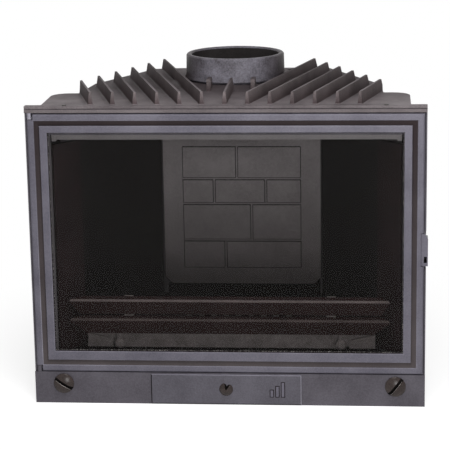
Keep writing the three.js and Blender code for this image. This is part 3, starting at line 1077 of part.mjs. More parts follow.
// ---------------------------------------------------------------- air slider and valves
function airSlider() {
  const top = FASCIA_HEIGHT - SLIDER_TOP_GAP;
  const back = -SEAT_GAP;
  const front = back - SLIDER_THICKNESS;
  const [left, right] = [SLIDER_OFFSET - SLIDER_WIDTH / 2, SLIDER_OFFSET + SLIDER_WIDTH / 2];
  const plate = block(left, right, front + SLIDER_EDGE, back, SLIDER_BOTTOM, top);
  const crown = profile([[front + SLIDER_EDGE, SLIDER_BOTTOM], [front, SLIDER_BOTTOM + SLIDER_EDGE],
    [front, top - SLIDER_EDGE], [front + SLIDER_EDGE, top]].reverse(), left, right);
  const sides = slab([[left, back], [left, front + SLIDER_EDGE], [left + SLIDER_EDGE, front],
    [right - SLIDER_EDGE, front], [right, front + SLIDER_EDGE], [right, back]], SLIDER_BOTTOM, top);
  const stud = disc(SLIDER_STUD_RADIUS, (front + back) / 2, retainerBack() + SLIDER_STUD_END);
  const studs = studPlaces().map((x) => turnedFlat(stud, x, SLIDER_SLOT_HEIGHT, 20));
  const shankHole = turnedFlat(disc(KNOB_SHANK_RADIUS + PIN_GAP, front - CUT_OVER, back + CUT_OVER),
    SLIDER_OFFSET, SLIDER_SLOT_HEIGHT, 20);
  return cut(join(join(plate, crown).intersect(sides), ...studs), shankHole);
}

const studPlaces = () => [-1, 1].map((side) => SLIDER_OFFSET + side * SLIDER_STUD_SPREAD);
const retainerBack = () => FASCIA_PLATE + SEAT_GAP + RETAINER_THICKNESS;

// spring washer behind the fascia, on a stud or stem
function retainer(x, z, stemRadius) {
  const ring = disc(RETAINER_RADIUS, FASCIA_PLATE + SEAT_GAP, retainerBack());
  return cut(turnedFlat(ring, x, z, 24),
    turnedFlat(disc(stemRadius + PIN_GAP, FASCIA_PLATE - CUT_OVER, retainerBack() + CUT_OVER), x, z, 20));
}

function sliderKnob() {
  const seat = -SEAT_GAP - SLIDER_THICKNESS - SEAT_GAP;
  const dome = turnedFlat([
    [0, seat - KNOB_DOME], [KNOB_RADIUS * 0.45, seat - KNOB_DOME * 0.92],
    [KNOB_RADIUS * 0.75, seat - KNOB_DOME * 0.68], [KNOB_RADIUS * 0.94, seat - KNOB_DOME * 0.32],
    [KNOB_RADIUS, seat], [KNOB_SHANK_RADIUS, seat],
    [KNOB_SHANK_RADIUS, -2 * SEAT_GAP], [0, -2 * SEAT_GAP]], SLIDER_OFFSET, SLIDER_SLOT_HEIGHT, 28);
  const notch = panel([
    [SLIDER_OFFSET, SLIDER_SLOT_HEIGHT - 1],
    [SLIDER_OFFSET + KNOB_NOTCH_WIDTH, SLIDER_SLOT_HEIGHT + KNOB_RADIUS + CUT_OVER],
    [SLIDER_OFFSET - KNOB_NOTCH_WIDTH / 3, SLIDER_SLOT_HEIGHT + KNOB_RADIUS + CUT_OVER],
  ], seat - KNOB_DOME - CUT_OVER, seat - 1);
  return cut(dome, notch);
}

function valveDisc(side, turn) {
  const back = -SEAT_GAP;
  const rimFront = back - VALVE_RIM;
  const x = side * VALVE_SPREAD;
  const head = turnedFlat([
    [0, rimFront - VALVE_DOME], [VALVE_RADIUS * 0.4, rimFront - VALVE_DOME * 0.9],
    [VALVE_RADIUS * 0.72, rimFront - VALVE_DOME * 0.6], [VALVE_RADIUS * 0.93, rimFront - VALVE_DOME * 0.2],
    [VALVE_RADIUS, rimFront], [VALVE_RADIUS, back], [VALVE_STEM_RADIUS, back],
    [VALVE_STEM_RADIUS, retainerBack() + SLIDER_STUD_END], [0, retainerBack() + SLIDER_STUD_END],
  ], x, VALVE_HEIGHT, 36);
  const slot = new THREE.BoxGeometry(3 * VALVE_RADIUS, VALVE_SLOT_DEPTH + CUT_OVER, VALVE_SLOT_WIDTH);
  slot.rotateY(-THREE.MathUtils.degToRad(turn));
  slot.translate(x, rimFront - VALVE_DOME + (VALVE_SLOT_DEPTH - CUT_OVER) / 2, VALVE_HEIGHT);
  return cut(head, solidOf(slot));
}

// ---------------------------------------------------------------- named pieces
add('facade_frame', facadeFrame(), castIron);
add('base_tray', baseTray(), castIron);
add('hearth_plate', hearthPlate(), sootedIron);
add('right_side_wall', rightWall(), castIron);
add('left_side_wall', flip(rightWall()), castIron);
add('back_wall', backWall(), castIron);
add('top_dome', topDome(), castIron);
add('flue_collar', flueCollar(), castIron);
add('right_liner', rightLiner(), sootedIron);
add('left_liner', flip(rightLiner()), sootedIron);
add('fireback', fireback(), backIron);
add('baffle_plate', bafflePlate(), sootedIron);
add('fire_grate', fireGrate(), sootedIron);
add('ash_pan', ashPan(), darkSteel);
add('hearth_sill', hearthSill(), backIron);
add('airwash_deflector', airwashDeflector(), castIron);
addPair('airwash_screw', screwTowardsFace(BODY_FRONT + AIRWASH_SHEET + SEAT_GAP, -AIRWASH_SCREW_SPREAD,
  (OPENING_TOP + AIRWASH_TOP) / 2, 2 * AIRWASH_SCREW_RADIUS, AIRWASH_SHEET, AIRWASH_SCREW_RADIUS,
  AIRWASH_SHEET + 2 * SEAT_GAP + AIRWASH_SCREW_DEPTH), darkSteel);

const roofScrew = screwProfile(
  ROOF_SCREW_HEAD_RADIUS, ROOF_SCREW_HEAD_HEIGHT, ROOF_SCREW_RADIUS, ROOF_SCREW_LENGTH,
).map(([r, z]) => [r, z + FACE_HEIGHT + SEAT_GAP]);
addPair('roof_screw_front', turned(roofScrew, -ROOF_SCREW_SPREAD, ROOF_SCREW_SETBACK, 16), darkSteel);
addPair('roof_screw_back', turned(roofScrew, -ROOF_SCREW_BACK_SPREAD, backScrewY, 16), darkSteel);

add('guard_upper_bar', guardBar(0), sootedIron);
add('guard_lower_bar', guardBar(1), sootedIron);
addPair('guard_post', flip(guardPostRight()), sootedIron);
addPair('guard_pin', flip(guardPinRight()), backIron);

add('door_frame', doorFrame(), groundIron);
add('door_rope', doorRope(), rope);
add('glass_gasket', glassGasket(), rope);
add('door_glass', doorGlass(), glass);
clipPlaces().forEach(([side, z], i) => {
  add(`glass_clip_${i + 1}`, glassClip(side, z), darkSteel);
  add(`glass_clip_screw_${i + 1}`, clipScrew(side, z), darkSteel);
});
add('hinge_pin_bottom',
  hingePin(FASCIA_HEIGHT - HINGE_PIN_IN_LIP, FASCIA_HEIGHT + KNUCKLE_HEIGHT, 1), darkSteel);
add('hinge_pin_top',
  hingePin(LIP_UNDERSIDE + HINGE_PIN_IN_LIP, LIP_UNDERSIDE - KNUCKLE_HEIGHT, -1), darkSteel);

add('latch_lever', latchLever(), castIron);
add('latch_pin', latchPin(), darkSteel);

add('air_slider', airSlider(), groundIron);
add('slider_knob', sliderKnob(), darkSteel);
studPlaces().forEach((x, i) => {
  const name = ['left', 'right'][i];
  add(`slider_retainer_${name}`, retainer(x, SLIDER_SLOT_HEIGHT, SLIDER_STUD_RADIUS), darkSteel);
});
[-1, 1].forEach((side, i) => {
  const name = ['left', 'right'][i];
  add(`valve_disc_${name}`, valveDisc(side, VALVE_SLOT_TURNS[i]), darkSteel);
  add(`valve_retainer_${name}`, retainer(side * VALVE_SPREAD, VALVE_HEIGHT, VALVE_STEM_RADIUS), darkSteel);
});

const model = new THREE.Group();
model.add(insert);

export default model;
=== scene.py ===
import json
import math

import bmesh
import bpy
from mathutils import Matrix, Vector


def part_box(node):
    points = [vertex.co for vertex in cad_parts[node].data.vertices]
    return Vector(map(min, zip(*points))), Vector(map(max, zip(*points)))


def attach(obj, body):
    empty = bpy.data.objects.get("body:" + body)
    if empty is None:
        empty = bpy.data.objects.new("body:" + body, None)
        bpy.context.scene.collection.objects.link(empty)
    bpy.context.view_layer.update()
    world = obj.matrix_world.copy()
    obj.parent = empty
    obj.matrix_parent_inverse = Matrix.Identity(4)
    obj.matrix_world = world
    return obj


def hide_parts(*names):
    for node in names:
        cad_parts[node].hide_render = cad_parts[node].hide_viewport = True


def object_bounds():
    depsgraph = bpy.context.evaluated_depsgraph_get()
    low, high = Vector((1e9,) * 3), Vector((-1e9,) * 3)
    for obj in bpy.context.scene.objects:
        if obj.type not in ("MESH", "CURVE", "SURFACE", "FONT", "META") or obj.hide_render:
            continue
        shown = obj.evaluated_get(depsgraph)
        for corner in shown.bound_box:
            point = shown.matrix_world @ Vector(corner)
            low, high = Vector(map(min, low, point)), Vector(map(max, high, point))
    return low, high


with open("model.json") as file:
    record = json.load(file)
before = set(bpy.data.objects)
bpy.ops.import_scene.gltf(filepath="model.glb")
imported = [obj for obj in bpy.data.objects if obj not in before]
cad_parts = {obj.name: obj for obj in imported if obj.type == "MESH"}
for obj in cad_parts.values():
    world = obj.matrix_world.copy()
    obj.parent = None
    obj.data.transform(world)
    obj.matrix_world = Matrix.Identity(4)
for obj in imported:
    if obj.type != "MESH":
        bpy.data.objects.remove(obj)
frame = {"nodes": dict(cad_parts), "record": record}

cad_low, cad_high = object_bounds()

# The body: the two side walls, the back wall and the base tray, sand-cast in grey iron.
# Outside they are painted in heat-resistant anthracite, which keeps the sand's grain, and inside they
# are black with soot.
MM = 0.001
FACING = 0.9  # least cosine for a face to count as looking one way
SHARP_ANGLE = math.radians(24)  # edges that turn more than this stay sharp in the shading


def linear(hex_colour):
    """sRGB hex colour to the linear values that Blender's shaders take."""
    channels = [int(hex_colour[i:i + 2], 16) / 255 for i in (1, 3, 5)]
    return [c / 12.92 if c <= 0.04045 else ((c + 0.055) / 1.055) ** 2.4 for c in channels] + [1.0]


def add_node(tree, kind, inputs=(), **settings):
    """Adds a node with its settings; inputs pairs a socket with a value or with another node's output."""
    made = tree.nodes.new(kind)
    for name, value in settings.items():
        setattr(made, name, value)
    for socket, value in inputs:
        if isinstance(value, bpy.types.NodeSocket):
            tree.links.new(value, made.inputs[socket])
        else:
            made.inputs[socket].default_value = value
    return made


def sand_cast(name, light, dark, grain_mm, relief_mm, roughness, metallic=0.0, patch_mm=70, pits=0.0,
              specular=0.4, shades=()):
    """Cast iron: patches of tone, sand grain in the relief and the gloss, and small casting pits.

    A shade is painted shade along an axis: two distances from its zero and a tint, full at the first and none at
    the second."""
    material = bpy.data.materials.new(name)
    material.use_nodes = True
    tree = material.node_tree
    shader = tree.nodes["Principled BSDF"]
    shader.inputs["Metallic"].default_value = metallic
    shader.inputs["Specular IOR Level"].default_value = specular
    place = add_node(tree, "ShaderNodeTexCoord").outputs["Object"]
    patches = add_node(tree, "ShaderNodeTexNoise", [
        ("Vector", place), ("Scale", 1000 / patch_mm), ("Detail", 4.0), ("Roughness", 0.55)]).outputs["Fac"]
    grain = add_node(tree, "ShaderNodeTexNoise", [
        ("Vector", place), ("Scale", 1000 / grain_mm), ("Detail", 3.0), ("Roughness", 0.6)]).outputs["Fac"]
    tone = add_node(tree, "ShaderNodeMix", [("Factor", 0.45), ("A", patches), ("B", grain)])
    spread = add_node(tree, "ShaderNodeMapRange", [
        ("Value", tone.outputs["Result"]), ("From Min", 0.36), ("From Max", 0.64)])
    colour = add_node(tree, "ShaderNodeMix", [
        ("Factor", spread.outputs["Result"]), ("A", linear(dark)), ("B", linear(light))], data_type="RGBA")
    # Each shade darkens the colour along one axis as painted shade.
    for axis, full_at, none_at, tint in shades:
        along = add_node(tree, "ShaderNodeSeparateXYZ", [("Vector", place)]).outputs[axis]
        distance = add_node(tree, "ShaderNodeMath", [(0, along)], operation="ABSOLUTE").outputs["Value"]
        share = add_node(tree, "ShaderNodeMapRange", [
            ("Value", distance), ("From Min", full_at), ("From Max", none_at), ("To Min", 1.0), ("To Max", 0.0)])
        colour = add_node(tree, "ShaderNodeMix", [
            ("Factor", share.outputs["Result"]), ("A", colour.outputs["Result"]), ("B", linear(tint))],
            data_type="RGBA", blend_type="MULTIPLY")
    gloss = add_node(tree, "ShaderNodeMapRange", [
        ("Value", grain), ("From Min", 0.3), ("From Max", 0.7),
        ("To Min", roughness - 0.08), ("To Max", roughness + 0.08)])
    height = grain
    if pits:
        holes = add_node(tree, "ShaderNodeTexVoronoi", [
            ("Vector", place), ("Scale", 1000 / (6 * grain_mm)), ("Randomness", 1.0)]).outputs["Distance"]
        rim = add_node(tree, "ShaderNodeMapRange", [
            ("Value", holes), ("From Min", 0.05), ("From Max", 0.22), ("To Min", -pits), ("To Max", 0.0)])
        height = add_node(tree, "ShaderNodeMath", [(0, grain), (1, rim.outputs["Result"])],
                          operation="ADD").outputs["Value"]
    relief = add_node(tree, "ShaderNodeBump", [
        ("Height", height), ("Distance", relief_mm * MM), ("Strength", 1.0)])
    tree.links.new(colour.outputs["Result"], shader.inputs["Base Color"])
    tree.links.new(gloss.outputs["Result"], shader.inputs["Roughness"])
    tree.links.new(relief.outputs["Normal"], shader.inputs["Normal"])
    return material


def merged_copy(node):
    """A bmesh of a CAD node's own triangles, joined up, with each flat face in one piece."""
    shape = bmesh.new()
    shape.from_mesh(frame["nodes"][node].data)
    bmesh.ops.remove_doubles(shape, verts=shape.verts, dist=0.02 * MM)
    bmesh.ops.dissolve_limit(shape, angle_limit=math.radians(0.6), verts=shape.verts, edges=shape.edges)
    return shape


def corners(shape, hollow, least=28):
    """The edges that turn by at least so many degrees, either in hollows or on outer corners."""
    return [edge for edge in shape.edges if len(edge.link_faces) == 2
            and edge.calc_face_angle(0) > math.radians(least) and edge.is_convex != hollow]


def soften(shape, edges, width_mm, segments=2, held=True):
    """Rounds edges as a casting's or a turned piece's are, and gives the faces made along them.

    held stops each rounding where it meets the next."""
    if not edges:
        return []
    return bmesh.ops.bevel(shape, geom=edges, offset=width_mm * MM, offset_type="OFFSET", segments=segments,
                           profile=0.5, affect="EDGES", clamp_overlap=held, material=-1)["faces"]


def body_of(node):
    """The CAD body that carries a node."""
    return next(body for body, nodes in frame["record"]["behaviour"]["bodies"].items() if node in nodes)


def finish_piece(name, shape, materials, body, replaced):
    """Turns a bmesh into the piece of that name, on its body and in place of its CAD nodes."""
    mesh = bpy.data.meshes.new(name)
    shape.to_mesh(mesh)
    shape.free()
    for material in materials:
        mesh.materials.append(material)
    mesh.shade_smooth()
    mesh.set_sharp_from_angle(angle=SHARP_ANGLE)
    piece = bpy.data.objects.new(name, mesh)
    bpy.context.scene.collection.objects.link(piece)
    flat_faces = piece.modifiers.new("flat_faces", "WEIGHTED_NORMAL")
    flat_faces.keep_sharp = True
    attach(piece, body)
    if replaced:
        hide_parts(*replaced)


def soft_cast(node, material, edge_mm, root_mm=0.0):
    """A CAD piece in one material with rounded corners and, where asked for, filleted roots."""
    shape = merged_copy(node)
    if root_mm:
        soften(shape, corners(shape, hollow=True), root_mm, 3)
    soften(shape, corners(shape, hollow=False, least=40), edge_mm)
    finish_piece(f"{node}_cast", shape, [material], body_of(node), [node])


shell_iron = sand_cast("rough_painted_cast_iron", "#625d60", "#4e4a4d", 2.6, 0.35, 0.66, pits=0.5, specular=0.2)
sooted_iron = sand_cast("sooted_cast_iron", "#1b1818", "#131111", 2.4, 0.20, 0.88, specular=0.03)
for wall, inward in (("base_tray", (0, 0, 1)), ("right_side_wall", (-1, 0, 0)), ("left_side_wall", (1, 0, 0)),
                     ("back_wall", (0, -1, 0))):
    shell = merged_copy(wall)
    for face in shell.faces:
        face.material_index = 1 if face.normal.dot(Vector(inward)) > FACING else 0
    soften(shell, corners(shell, hollow=True), 2.0, 3)
    soften(shell, corners(shell, hollow=False, least=40), 1.5)
    finish_piece(f"{wall}_cast", shell, [shell_iron, sooted_iron], "body", [wall])

# The lining of the firebox: side plates, fireback, baffle, hearth plate and grate, unpainted castings.
# Soot has blackened them, and the fireback is burnt to grey. The cheeks beside the door are a lighter brown
# than the splayed parts, as painted light, and the fireback is darker at its foot and in the joints, sides
# and edges of its raised blocks, as painted shade.
# Painted shade: the fireback and its joints darken towards the foot, fully below 0.13 m and not above 0.36 m.
FIREBACK_SHADES = [("Z", 0.13, 0.36, "#a39f9e")]
fireback_iron_and_shade = sand_cast("fireback_cast_iron", "#979192", "#807a7b", 4.5, 1.0, 0.78, pits=0.4, specular=0.15,
                          shades=FIREBACK_SHADES)
joint_shade = sand_cast("joint_painted_shade_cast_iron", "#3d3a3a", "#2b2929", 3.0, 0.45, 0.85, specular=0.05,
                       shades=FIREBACK_SHADES)
# A dark brown for painted light and shade: lighter than soot on the cheeks, and painted shade in the door's
# opening and round the slider's mark.
brown_lit_and_shaded = sand_cast("brown_painted_light_and_shade_iron", "#2b2122", "#1c1516", 2.4, 0.20, 0.88, specular=0.03)
CHEEK_BACK = -0.200  # fold between the cheek and the splayed part of each side plate
for liner in ("right_liner", "left_liner"):
    splay = merged_copy(liner)
    for face in splay.faces:
        # The cheek in front of the fold is painted a lighter brown than the splay behind it, as painted light.
        face.material_index = 1 if face.calc_center_median().y < CHEEK_BACK else 0
    soften(splay, corners(splay, hollow=False, least=40), 1.0)
    finish_piece(f"{liner}_cast", splay, [sooted_iron, brown_lit_and_shaded], "body", [liner])
for plate in ("hearth_plate", "baffle_plate", "fire_grate"):
    soft_cast(plate, sooted_iron, edge_mm=1.0)
BLOCK_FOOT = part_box("fireback")[0][1] + 4 * MM  # just behind the foot of the raised blocks
STEEP = 0.75  # faces that look less than this to the front or back are the sides of blocks and plate
back_plate = merged_copy("fireback")
# The raised blocks' rounded edges and the sides of blocks and plate take the joint colour as painted shade.
for face in soften(back_plate, corners(back_plate, hollow=False, least=40), 1.4):
    if face.calc_center_median().y < BLOCK_FOOT:
        face.material_index = 1
for face in back_plate.faces:
    if abs(face.normal.y) < STEEP:
        face.material_index = 1
finish_piece("fireback_cast", back_plate, [fireback_iron_and_shade, joint_shade], "body", ["fireback"])

# The ash pan: a blackened steel box under the grate.
# Its corners are crisp, and the sheet has a satin look.
black_steel = sand_cast("blackened_steel", "#3b3635", "#2f2b2a", 1.0, 0.05, 0.48, metallic=0.4, patch_mm=40)
soft_cast("ash_pan", black_steel, edge_mm=0.4)

# The sill across the front of the hearth: a sloped, coarse casting between the two linings.
# An arch with a round boss stands near each end, and a raised wedge runs out from it.
sill_iron = sand_cast("sill_cast_iron", "#736b6a", "#524b4a", 4.5, 1.1, 0.72, patch_mm=30, pits=0.4, specular=0.3)
soft_cast("hearth_sill", sill_iron, edge_mm=1.0, root_mm=1.0)

# The strip that turns the air down over the glass, screwed behind the top of the fire opening.
# It is a thin iron casting, pale grey, and painted lighter still as painted light where the door's top shades it.
pale_lit_iron = sand_cast("pale_cast_iron_with_painted_light", "#8f8a8b", "#7c7778", 2.0, 0.20, 0.62, specular=0.3)
soft_cast("airwash_deflector", pale_lit_iron, edge_mm=0.6)

# The log guard: two sloped bars on posts that stand behind the glass, pinned at the foot.
# Heat has browned the bars, and their rolled edges are painted paler as a painted highlight, the upper bar's most.
guard_iron = sand_cast("browned_cast_iron", "#382a2a", "#291e1e", 4.0, 0.06, 0.90, specular=0.0)
upper_bar_highlight = sand_cast("guard_upper_edge_highlight_iron", "#6d6261", "#574e4d", 4.0, 0.06, 0.80, specular=0.05)
lower_bar_highlight = sand_cast("guard_lower_edge_highlight_iron", "#524846", "#403837", 4.0, 0.06, 0.80, specular=0.02)
for bar, bar_edge_highlight in (("guard_upper_bar", upper_bar_highlight), ("guard_lower_bar", lower_bar_highlight)):
    angle_bar = merged_copy(bar)
    soften(angle_bar, corners(angle_bar, hollow=False, least=40), 1.0)
    for face in angle_bar.faces:
        # the sloped front looks down and the top straight up, so what is left in front is the rolled edge, which
        # takes the painted highlight
        face.material_index = 1 if face.normal.z > -0.2 and face.normal.y < -0.12 else 0
    finish_piece(f"{bar}_cast", angle_bar, [guard_iron, bar_edge_highlight], "log_guard", [bar])
for side in ("left", "right"):
    soft_cast(f"guard_post_{side}", sill_iron, edge_mm=1.0)
    soft_cast(f"guard_pin_{side}", sill_iron, edge_mm=1.6)

# The roof: one casting with a seat for the flue collar and cooling fins that spread from it.
# The fins have a fillet at the root, and the sand's texture shows on the plate. The plate is painted darker in
# the middle and round the collar than at its front corners, as painted shade of the fins and the collar.
roof_iron_and_shade = sand_cast("roof_cast_iron_with_painted_shade", "#8f8789", "#6d6668", 2.6, 0.45, 0.62, patch_mm=45, pits=0.5,
                      specular=0.12, shades=[("Y", 0.08, 0.22, "#a09a9b"), ("X", 0.20, 0.31, "#dcdadb")])
PLATE_TOP = 0.543
FIN_SHADE = 22 * MM  # height over which a fin's foot is darker
FIN_SLIVER = 0.9 * MM  # narrow faces where a fin's end meets the plate, merged so that the fillet can pass
# The fins' sides are painted darker towards their feet, as painted shade between the fins.
fin_side_shade = sand_cast("fin_side_cast_iron_with_painted_shade", "#8c8283", "#675f60", 2.2, 0.35, 0.68, pits=0.35, specular=0.06,
                          shades=[("Z", PLATE_TOP, PLATE_TOP + FIN_SHADE, "#a3989a")])
roof = merged_copy("top_dome")
bmesh.ops.remove_doubles(roof, verts=roof.verts, dist=FIN_SLIVER)
soften(roof, corners(roof, hollow=True), 3.0, 3, held=False)
soften(roof, corners(roof, hollow=False, least=40), 0.9)
for face in roof.faces:
    if abs(face.normal.z) < 0.6 and face.calc_center_median().z > PLATE_TOP + 0.2 * MM:  # sides of the fins
        face.material_index = 1
finish_piece("top_dome_cast", roof, [roof_iron_and_shade, fin_side_shade], "body", ["top_dome"])

# The flue collar: a short cast pipe on the roof's seat, with shallow pits from the mould.
# Its paint is darker towards the two sides as painted shade, where the pipe turns from the light, and below the
# rim its bore is sooted.
collar_iron_and_shade = sand_cast("pitted_collar_cast_iron_with_painted_shade", "#88858f", "#524e53", 2.8, 0.6, 0.42, patch_mm=24, pits=1.0,
                        specular=0.12, shades=[("X", 0.088, 0.045, "#8a7d7a")])
flue_soot = sand_cast("flue_soot", "#3c3939", "#2b2828", 2.4, 0.30, 0.85, specular=0.08)
RIM_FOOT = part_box("flue_collar")[1][2] - 4 * MM
collar = merged_copy("flue_collar")
soften(collar, corners(collar, hollow=False, least=40), 0.6)
for face in collar.faces:
    middle = face.calc_center_median()
    if middle.x * face.normal.x + middle.y * face.normal.y < 0 and middle.z < RIM_FOOT:
        face.material_index = 1
finish_piece("flue_collar_cast", collar, [collar_iron_and_shade, flue_soot], "body", ["flue_collar"])

# The facade: the casting that frames the door, with the fascia below it and the fixed hinge knuckles.
# Its faces are finer than the body's, the lip over the door is painted lighter, nearly as grey as the roof, as
# painted light on the top, and the upper knuckle carries a painted highlight.
painted_iron = sand_cast("anthracite_painted_cast_iron", "#66626a", "#4d4950", 2.4, 0.22, 0.55, specular=0.25)
lip_lit_iron = sand_cast("lip_cast_iron_with_painted_light", "#837b7d", "#686163", 2.6, 0.25, 0.60, specular=0.12)
# A light glossy grey for painted highlights on the upper knuckle, the door's front edges and the slider's right
# edge.
highlight_paint = sand_cast("highlight_cast_iron", "#a19ea9", "#87848f", 2.2, 0.10, 0.38, metallic=0.2, specular=0.4)
DOOR_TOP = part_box("door_frame")[1][2]
KNUCKLE_SIDE = -0.335
KNUCKLE_FOOT = 0.505
facade = merged_copy("facade_frame")
for face in facade.faces:
    middle = face.calc_center_median()
    # Painted light on the front of the lip over the door.
    if face.normal.y < -FACING and middle.z > DOOR_TOP:
        face.material_index = 1
    # Painted highlight on the upper hinge knuckle.
    if face.normal.y < -0.2 and middle.x < KNUCKLE_SIDE and KNUCKLE_FOOT < middle.z < DOOR_TOP:
        face.material_index = 2
soften(facade, corners(facade, hollow=False, least=40), 0.7)
finish_piece("facade_frame_cast", facade, [painted_iron, lip_lit_iron, highlight_paint], "body",
             ["facade_frame"])

# The door: a mitred casting with an outer and an inner flat band and a sloped groove between them.
# The bands are painted thinly over ground iron. The groove is painted darker and browner than them as painted
# shade, darkest at the top, the walls inside the opening are painted dark brown as painted shade, and the bands'
# front edges carry a painted highlight.
band_and_highlight = sand_cast("ground_painted_cast_iron_and_highlight", "#76737e", "#5c5964", 2.2, 0.16, 0.42, metallic=0.1,
                      specular=0.25)
groove_shade = sand_cast("groove_cast_iron_with_painted_shade", "#585152", "#484243", 2.2, 0.18, 0.66, specular=0.12,
                        shades=[("Z", 0.50, 0.08, "#bbb2b4")])
GROOVE_START = 2 * MM  # behind the door's face
GROOVE_END = 6 * MM
SIGHT_HALF_WIDTH = 0.316  # just outside the opening that shows the glass
SIGHT_BOTTOM = 0.094
SIGHT_TOP = 0.499
door_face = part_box("door_frame")[0][1]
door = merged_copy("door_frame")
for face in door.faces:
    middle = face.calc_center_median()
    # Painted shade in the sloped groove.
    if -0.97 < face.normal.y < -0.3 and GROOVE_START < middle.y - door_face < GROOVE_END:
        face.material_index = 1
    # Painted shade on the walls inside the opening.
    if abs(middle.x) < SIGHT_HALF_WIDTH and SIGHT_BOTTOM < middle.z < SIGHT_TOP and abs(face.normal.y) < 0.3:
        face.material_index = 3
# The door's rounded front edges take a painted highlight.
for face in soften(door, corners(door, hollow=False, least=30), 0.6):
    if face.calc_center_median().y < door_face + GROOVE_START:
        face.material_index = 2
finish_piece("door_casting", door, [band_and_highlight, groove_shade, highlight_paint, brown_lit_and_shaded], "door",
             ["door_frame"])

# The seals: a woven glass-fibre rope in the door's channel and a flat gasket round the glass.
# Both are dark with soot, and their pale fibres show as specks.
FIBRE_PITCH_MM = 1.9
rope = bpy.data.materials.new("woven_glass_fibre")
rope.use_nodes = True
tree = rope.node_tree
place = add_node(tree, "ShaderNodeTexCoord").outputs["Object"]
weave = add_node(tree, "ShaderNodeTexVoronoi", [
    ("Vector", place), ("Scale", 1000 / FIBRE_PITCH_MM)]).outputs["Distance"]
specks = add_node(tree, "ShaderNodeMapRange", [("Value", weave), ("From Min", 0.44), ("From Max", 0.24)])
yarn = add_node(tree, "ShaderNodeMix", [
    ("Factor", specks.outputs["Result"]), ("A", linear("#1d1b1b")), ("B", linear("#a5a19e"))], data_type="RGBA")
bulge = add_node(tree, "ShaderNodeBump", [("Height", weave), ("Distance", 0.6 * MM)])
shader = tree.nodes["Principled BSDF"]
shader.inputs["Roughness"].default_value = 0.95
tree.links.new(yarn.outputs["Result"], shader.inputs["Base Color"])
tree.links.new(bulge.outputs["Normal"], shader.inputs["Normal"])
for seal in ("door_rope", "glass_gasket"):
    frame["nodes"][seal].data.materials.clear()
    frame["nodes"][seal].data.materials.append(rope)

# The glass: a clear heat-resistant ceramic pane, held against the gasket by clips.
# It is nearly invisible from the front, with a faint smoky film in wide clouds.
CLOUD_MM = 120
pane = bpy.data.materials.new("clear_ceramic_glass")
pane.use_nodes = True
tree = pane.node_tree
shader = tree.nodes["Principled BSDF"]
shader.inputs["Alpha"].default_value = 0.10
shader.inputs["IOR"].default_value = 1.54
place = add_node(tree, "ShaderNodeTexCoord").outputs["Object"]
film = add_node(tree, "ShaderNodeTexNoise", [("Vector", place), ("Scale", 1000 / CLOUD_MM), ("Detail", 3.0)])
haze = add_node(tree, "ShaderNodeMapRange", [
    ("Value", film.outputs["Fac"]), ("To Min", 0.04), ("To Max", 0.12)])
smoke = add_node(tree, "ShaderNodeMix", [
    ("Factor", film.outputs["Fac"]), ("A", linear("#171413")), ("B", linear("#2a2624"))], data_type="RGBA")
tree.links.new(haze.outputs["Result"], shader.inputs["Roughness"])
tree.links.new(smoke.outputs["Result"], shader.inputs["Base Color"])
frame["nodes"]["door_glass"].data.materials.clear()
frame["nodes"]["door_glass"].data.materials.append(pane)

# The small fixings: clips, screws, hinge and latch pins, and the spring washers behind the fascia.
# They are turned or stamped from steel and blackened, with a satin look.
small_steel = sand_cast("blackened_fixing_steel", "#4a4543", "#393432", 0.8, 0.03, 0.42, metallic=0.6, patch_mm=12)
fixings = [f"glass_clip_{i}" for i in range(1, 5)] + [f"glass_clip_screw_{i}" for i in range(1, 5)]
fixings += [f"{kind}_{side}" for kind in (
    "airwash_screw", "roof_screw_front", "roof_screw_back", "slider_retainer", "valve_retainer")
    for side in ("left", "right")]
fixings += ["hinge_pin_bottom", "hinge_pin_top", "latch_pin"]
for fixing in fixings:
    soft_cast(fixing, small_steel, edge_mm=0.25)

# The latch: a cast lever on a pin in the door's edge, turned with a loose tool in its socket.
# It is painted like the door's bands, and the socket's inside is painted black as painted shade.
# A near black for painted shade in the latch's socket, the valves' slots, the knob's notch and the slider's edges.
shade_black = sand_cast("near_black_painted_shade", "#161413", "#0e0c0c", 1.6, 0.10, 0.9, specular=0.05)
lever_low, lever_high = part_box("latch_lever")
SOCKET_X = (lever_high[0] - 7.2 * MM, lever_high[0] - 1.9 * MM)  # clear of the lever's outer faces
SOCKET_Y = (lever_low[1] + 1 * MM, lever_low[1] + 8.2 * MM)
SOCKET_Z = (lever_low[2] + 5 * MM, lever_low[2] + 18 * MM)
lever = merged_copy("latch_lever")
soften(lever, corners(lever, hollow=False, least=40), 0.5)
for face in lever.faces:
    middle = face.calc_center_median()
    if all(first < at < last for at, (first, last) in zip(middle, (SOCKET_X, SOCKET_Y, SOCKET_Z))):
        face.material_index = 1
finish_piece("latch_lever_cast", lever, [band_and_highlight, shade_black], "latch", ["latch_lever"])

# The air slider: a painted plate that slides along the fascia, with a turned steel knob.
# The plate's right edge carries a painted highlight, its top edge is painted in the door's band colour as painted
# light, and the edges at its left and foot are painted near black as painted shade of the gap.
# The knob has a V-shaped notch painted black as painted shade, and a raised mark of three bars stands to its
# right.
slider_iron = sand_cast("satin_painted_cast_iron", "#68656e", "#504d55", 2.2, 0.16, 0.46, specular=0.25)
turned_steel = sand_cast("browned_turned_steel", "#463b38", "#2d2523", 1.2, 0.05, 0.24, specular=0.22, patch_mm=12)
EDGE_REACH = 4 * MM  # from the plate's face to behind its edges
slider_low, slider_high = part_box("air_slider")
slider = merged_copy("air_slider")
soften(slider, corners(slider, hollow=False, least=40), 0.5)
for face in slider.faces:
    if -FACING < face.normal.y < 0.5 and face.calc_center_median().y < slider_low[1] + EDGE_REACH:
        # Right edge painted highlight, top edge painted light, the rest painted shade.
        face.material_index = 1 if face.normal.x > 0.2 else 3 if face.normal.z > 0.2 else 2
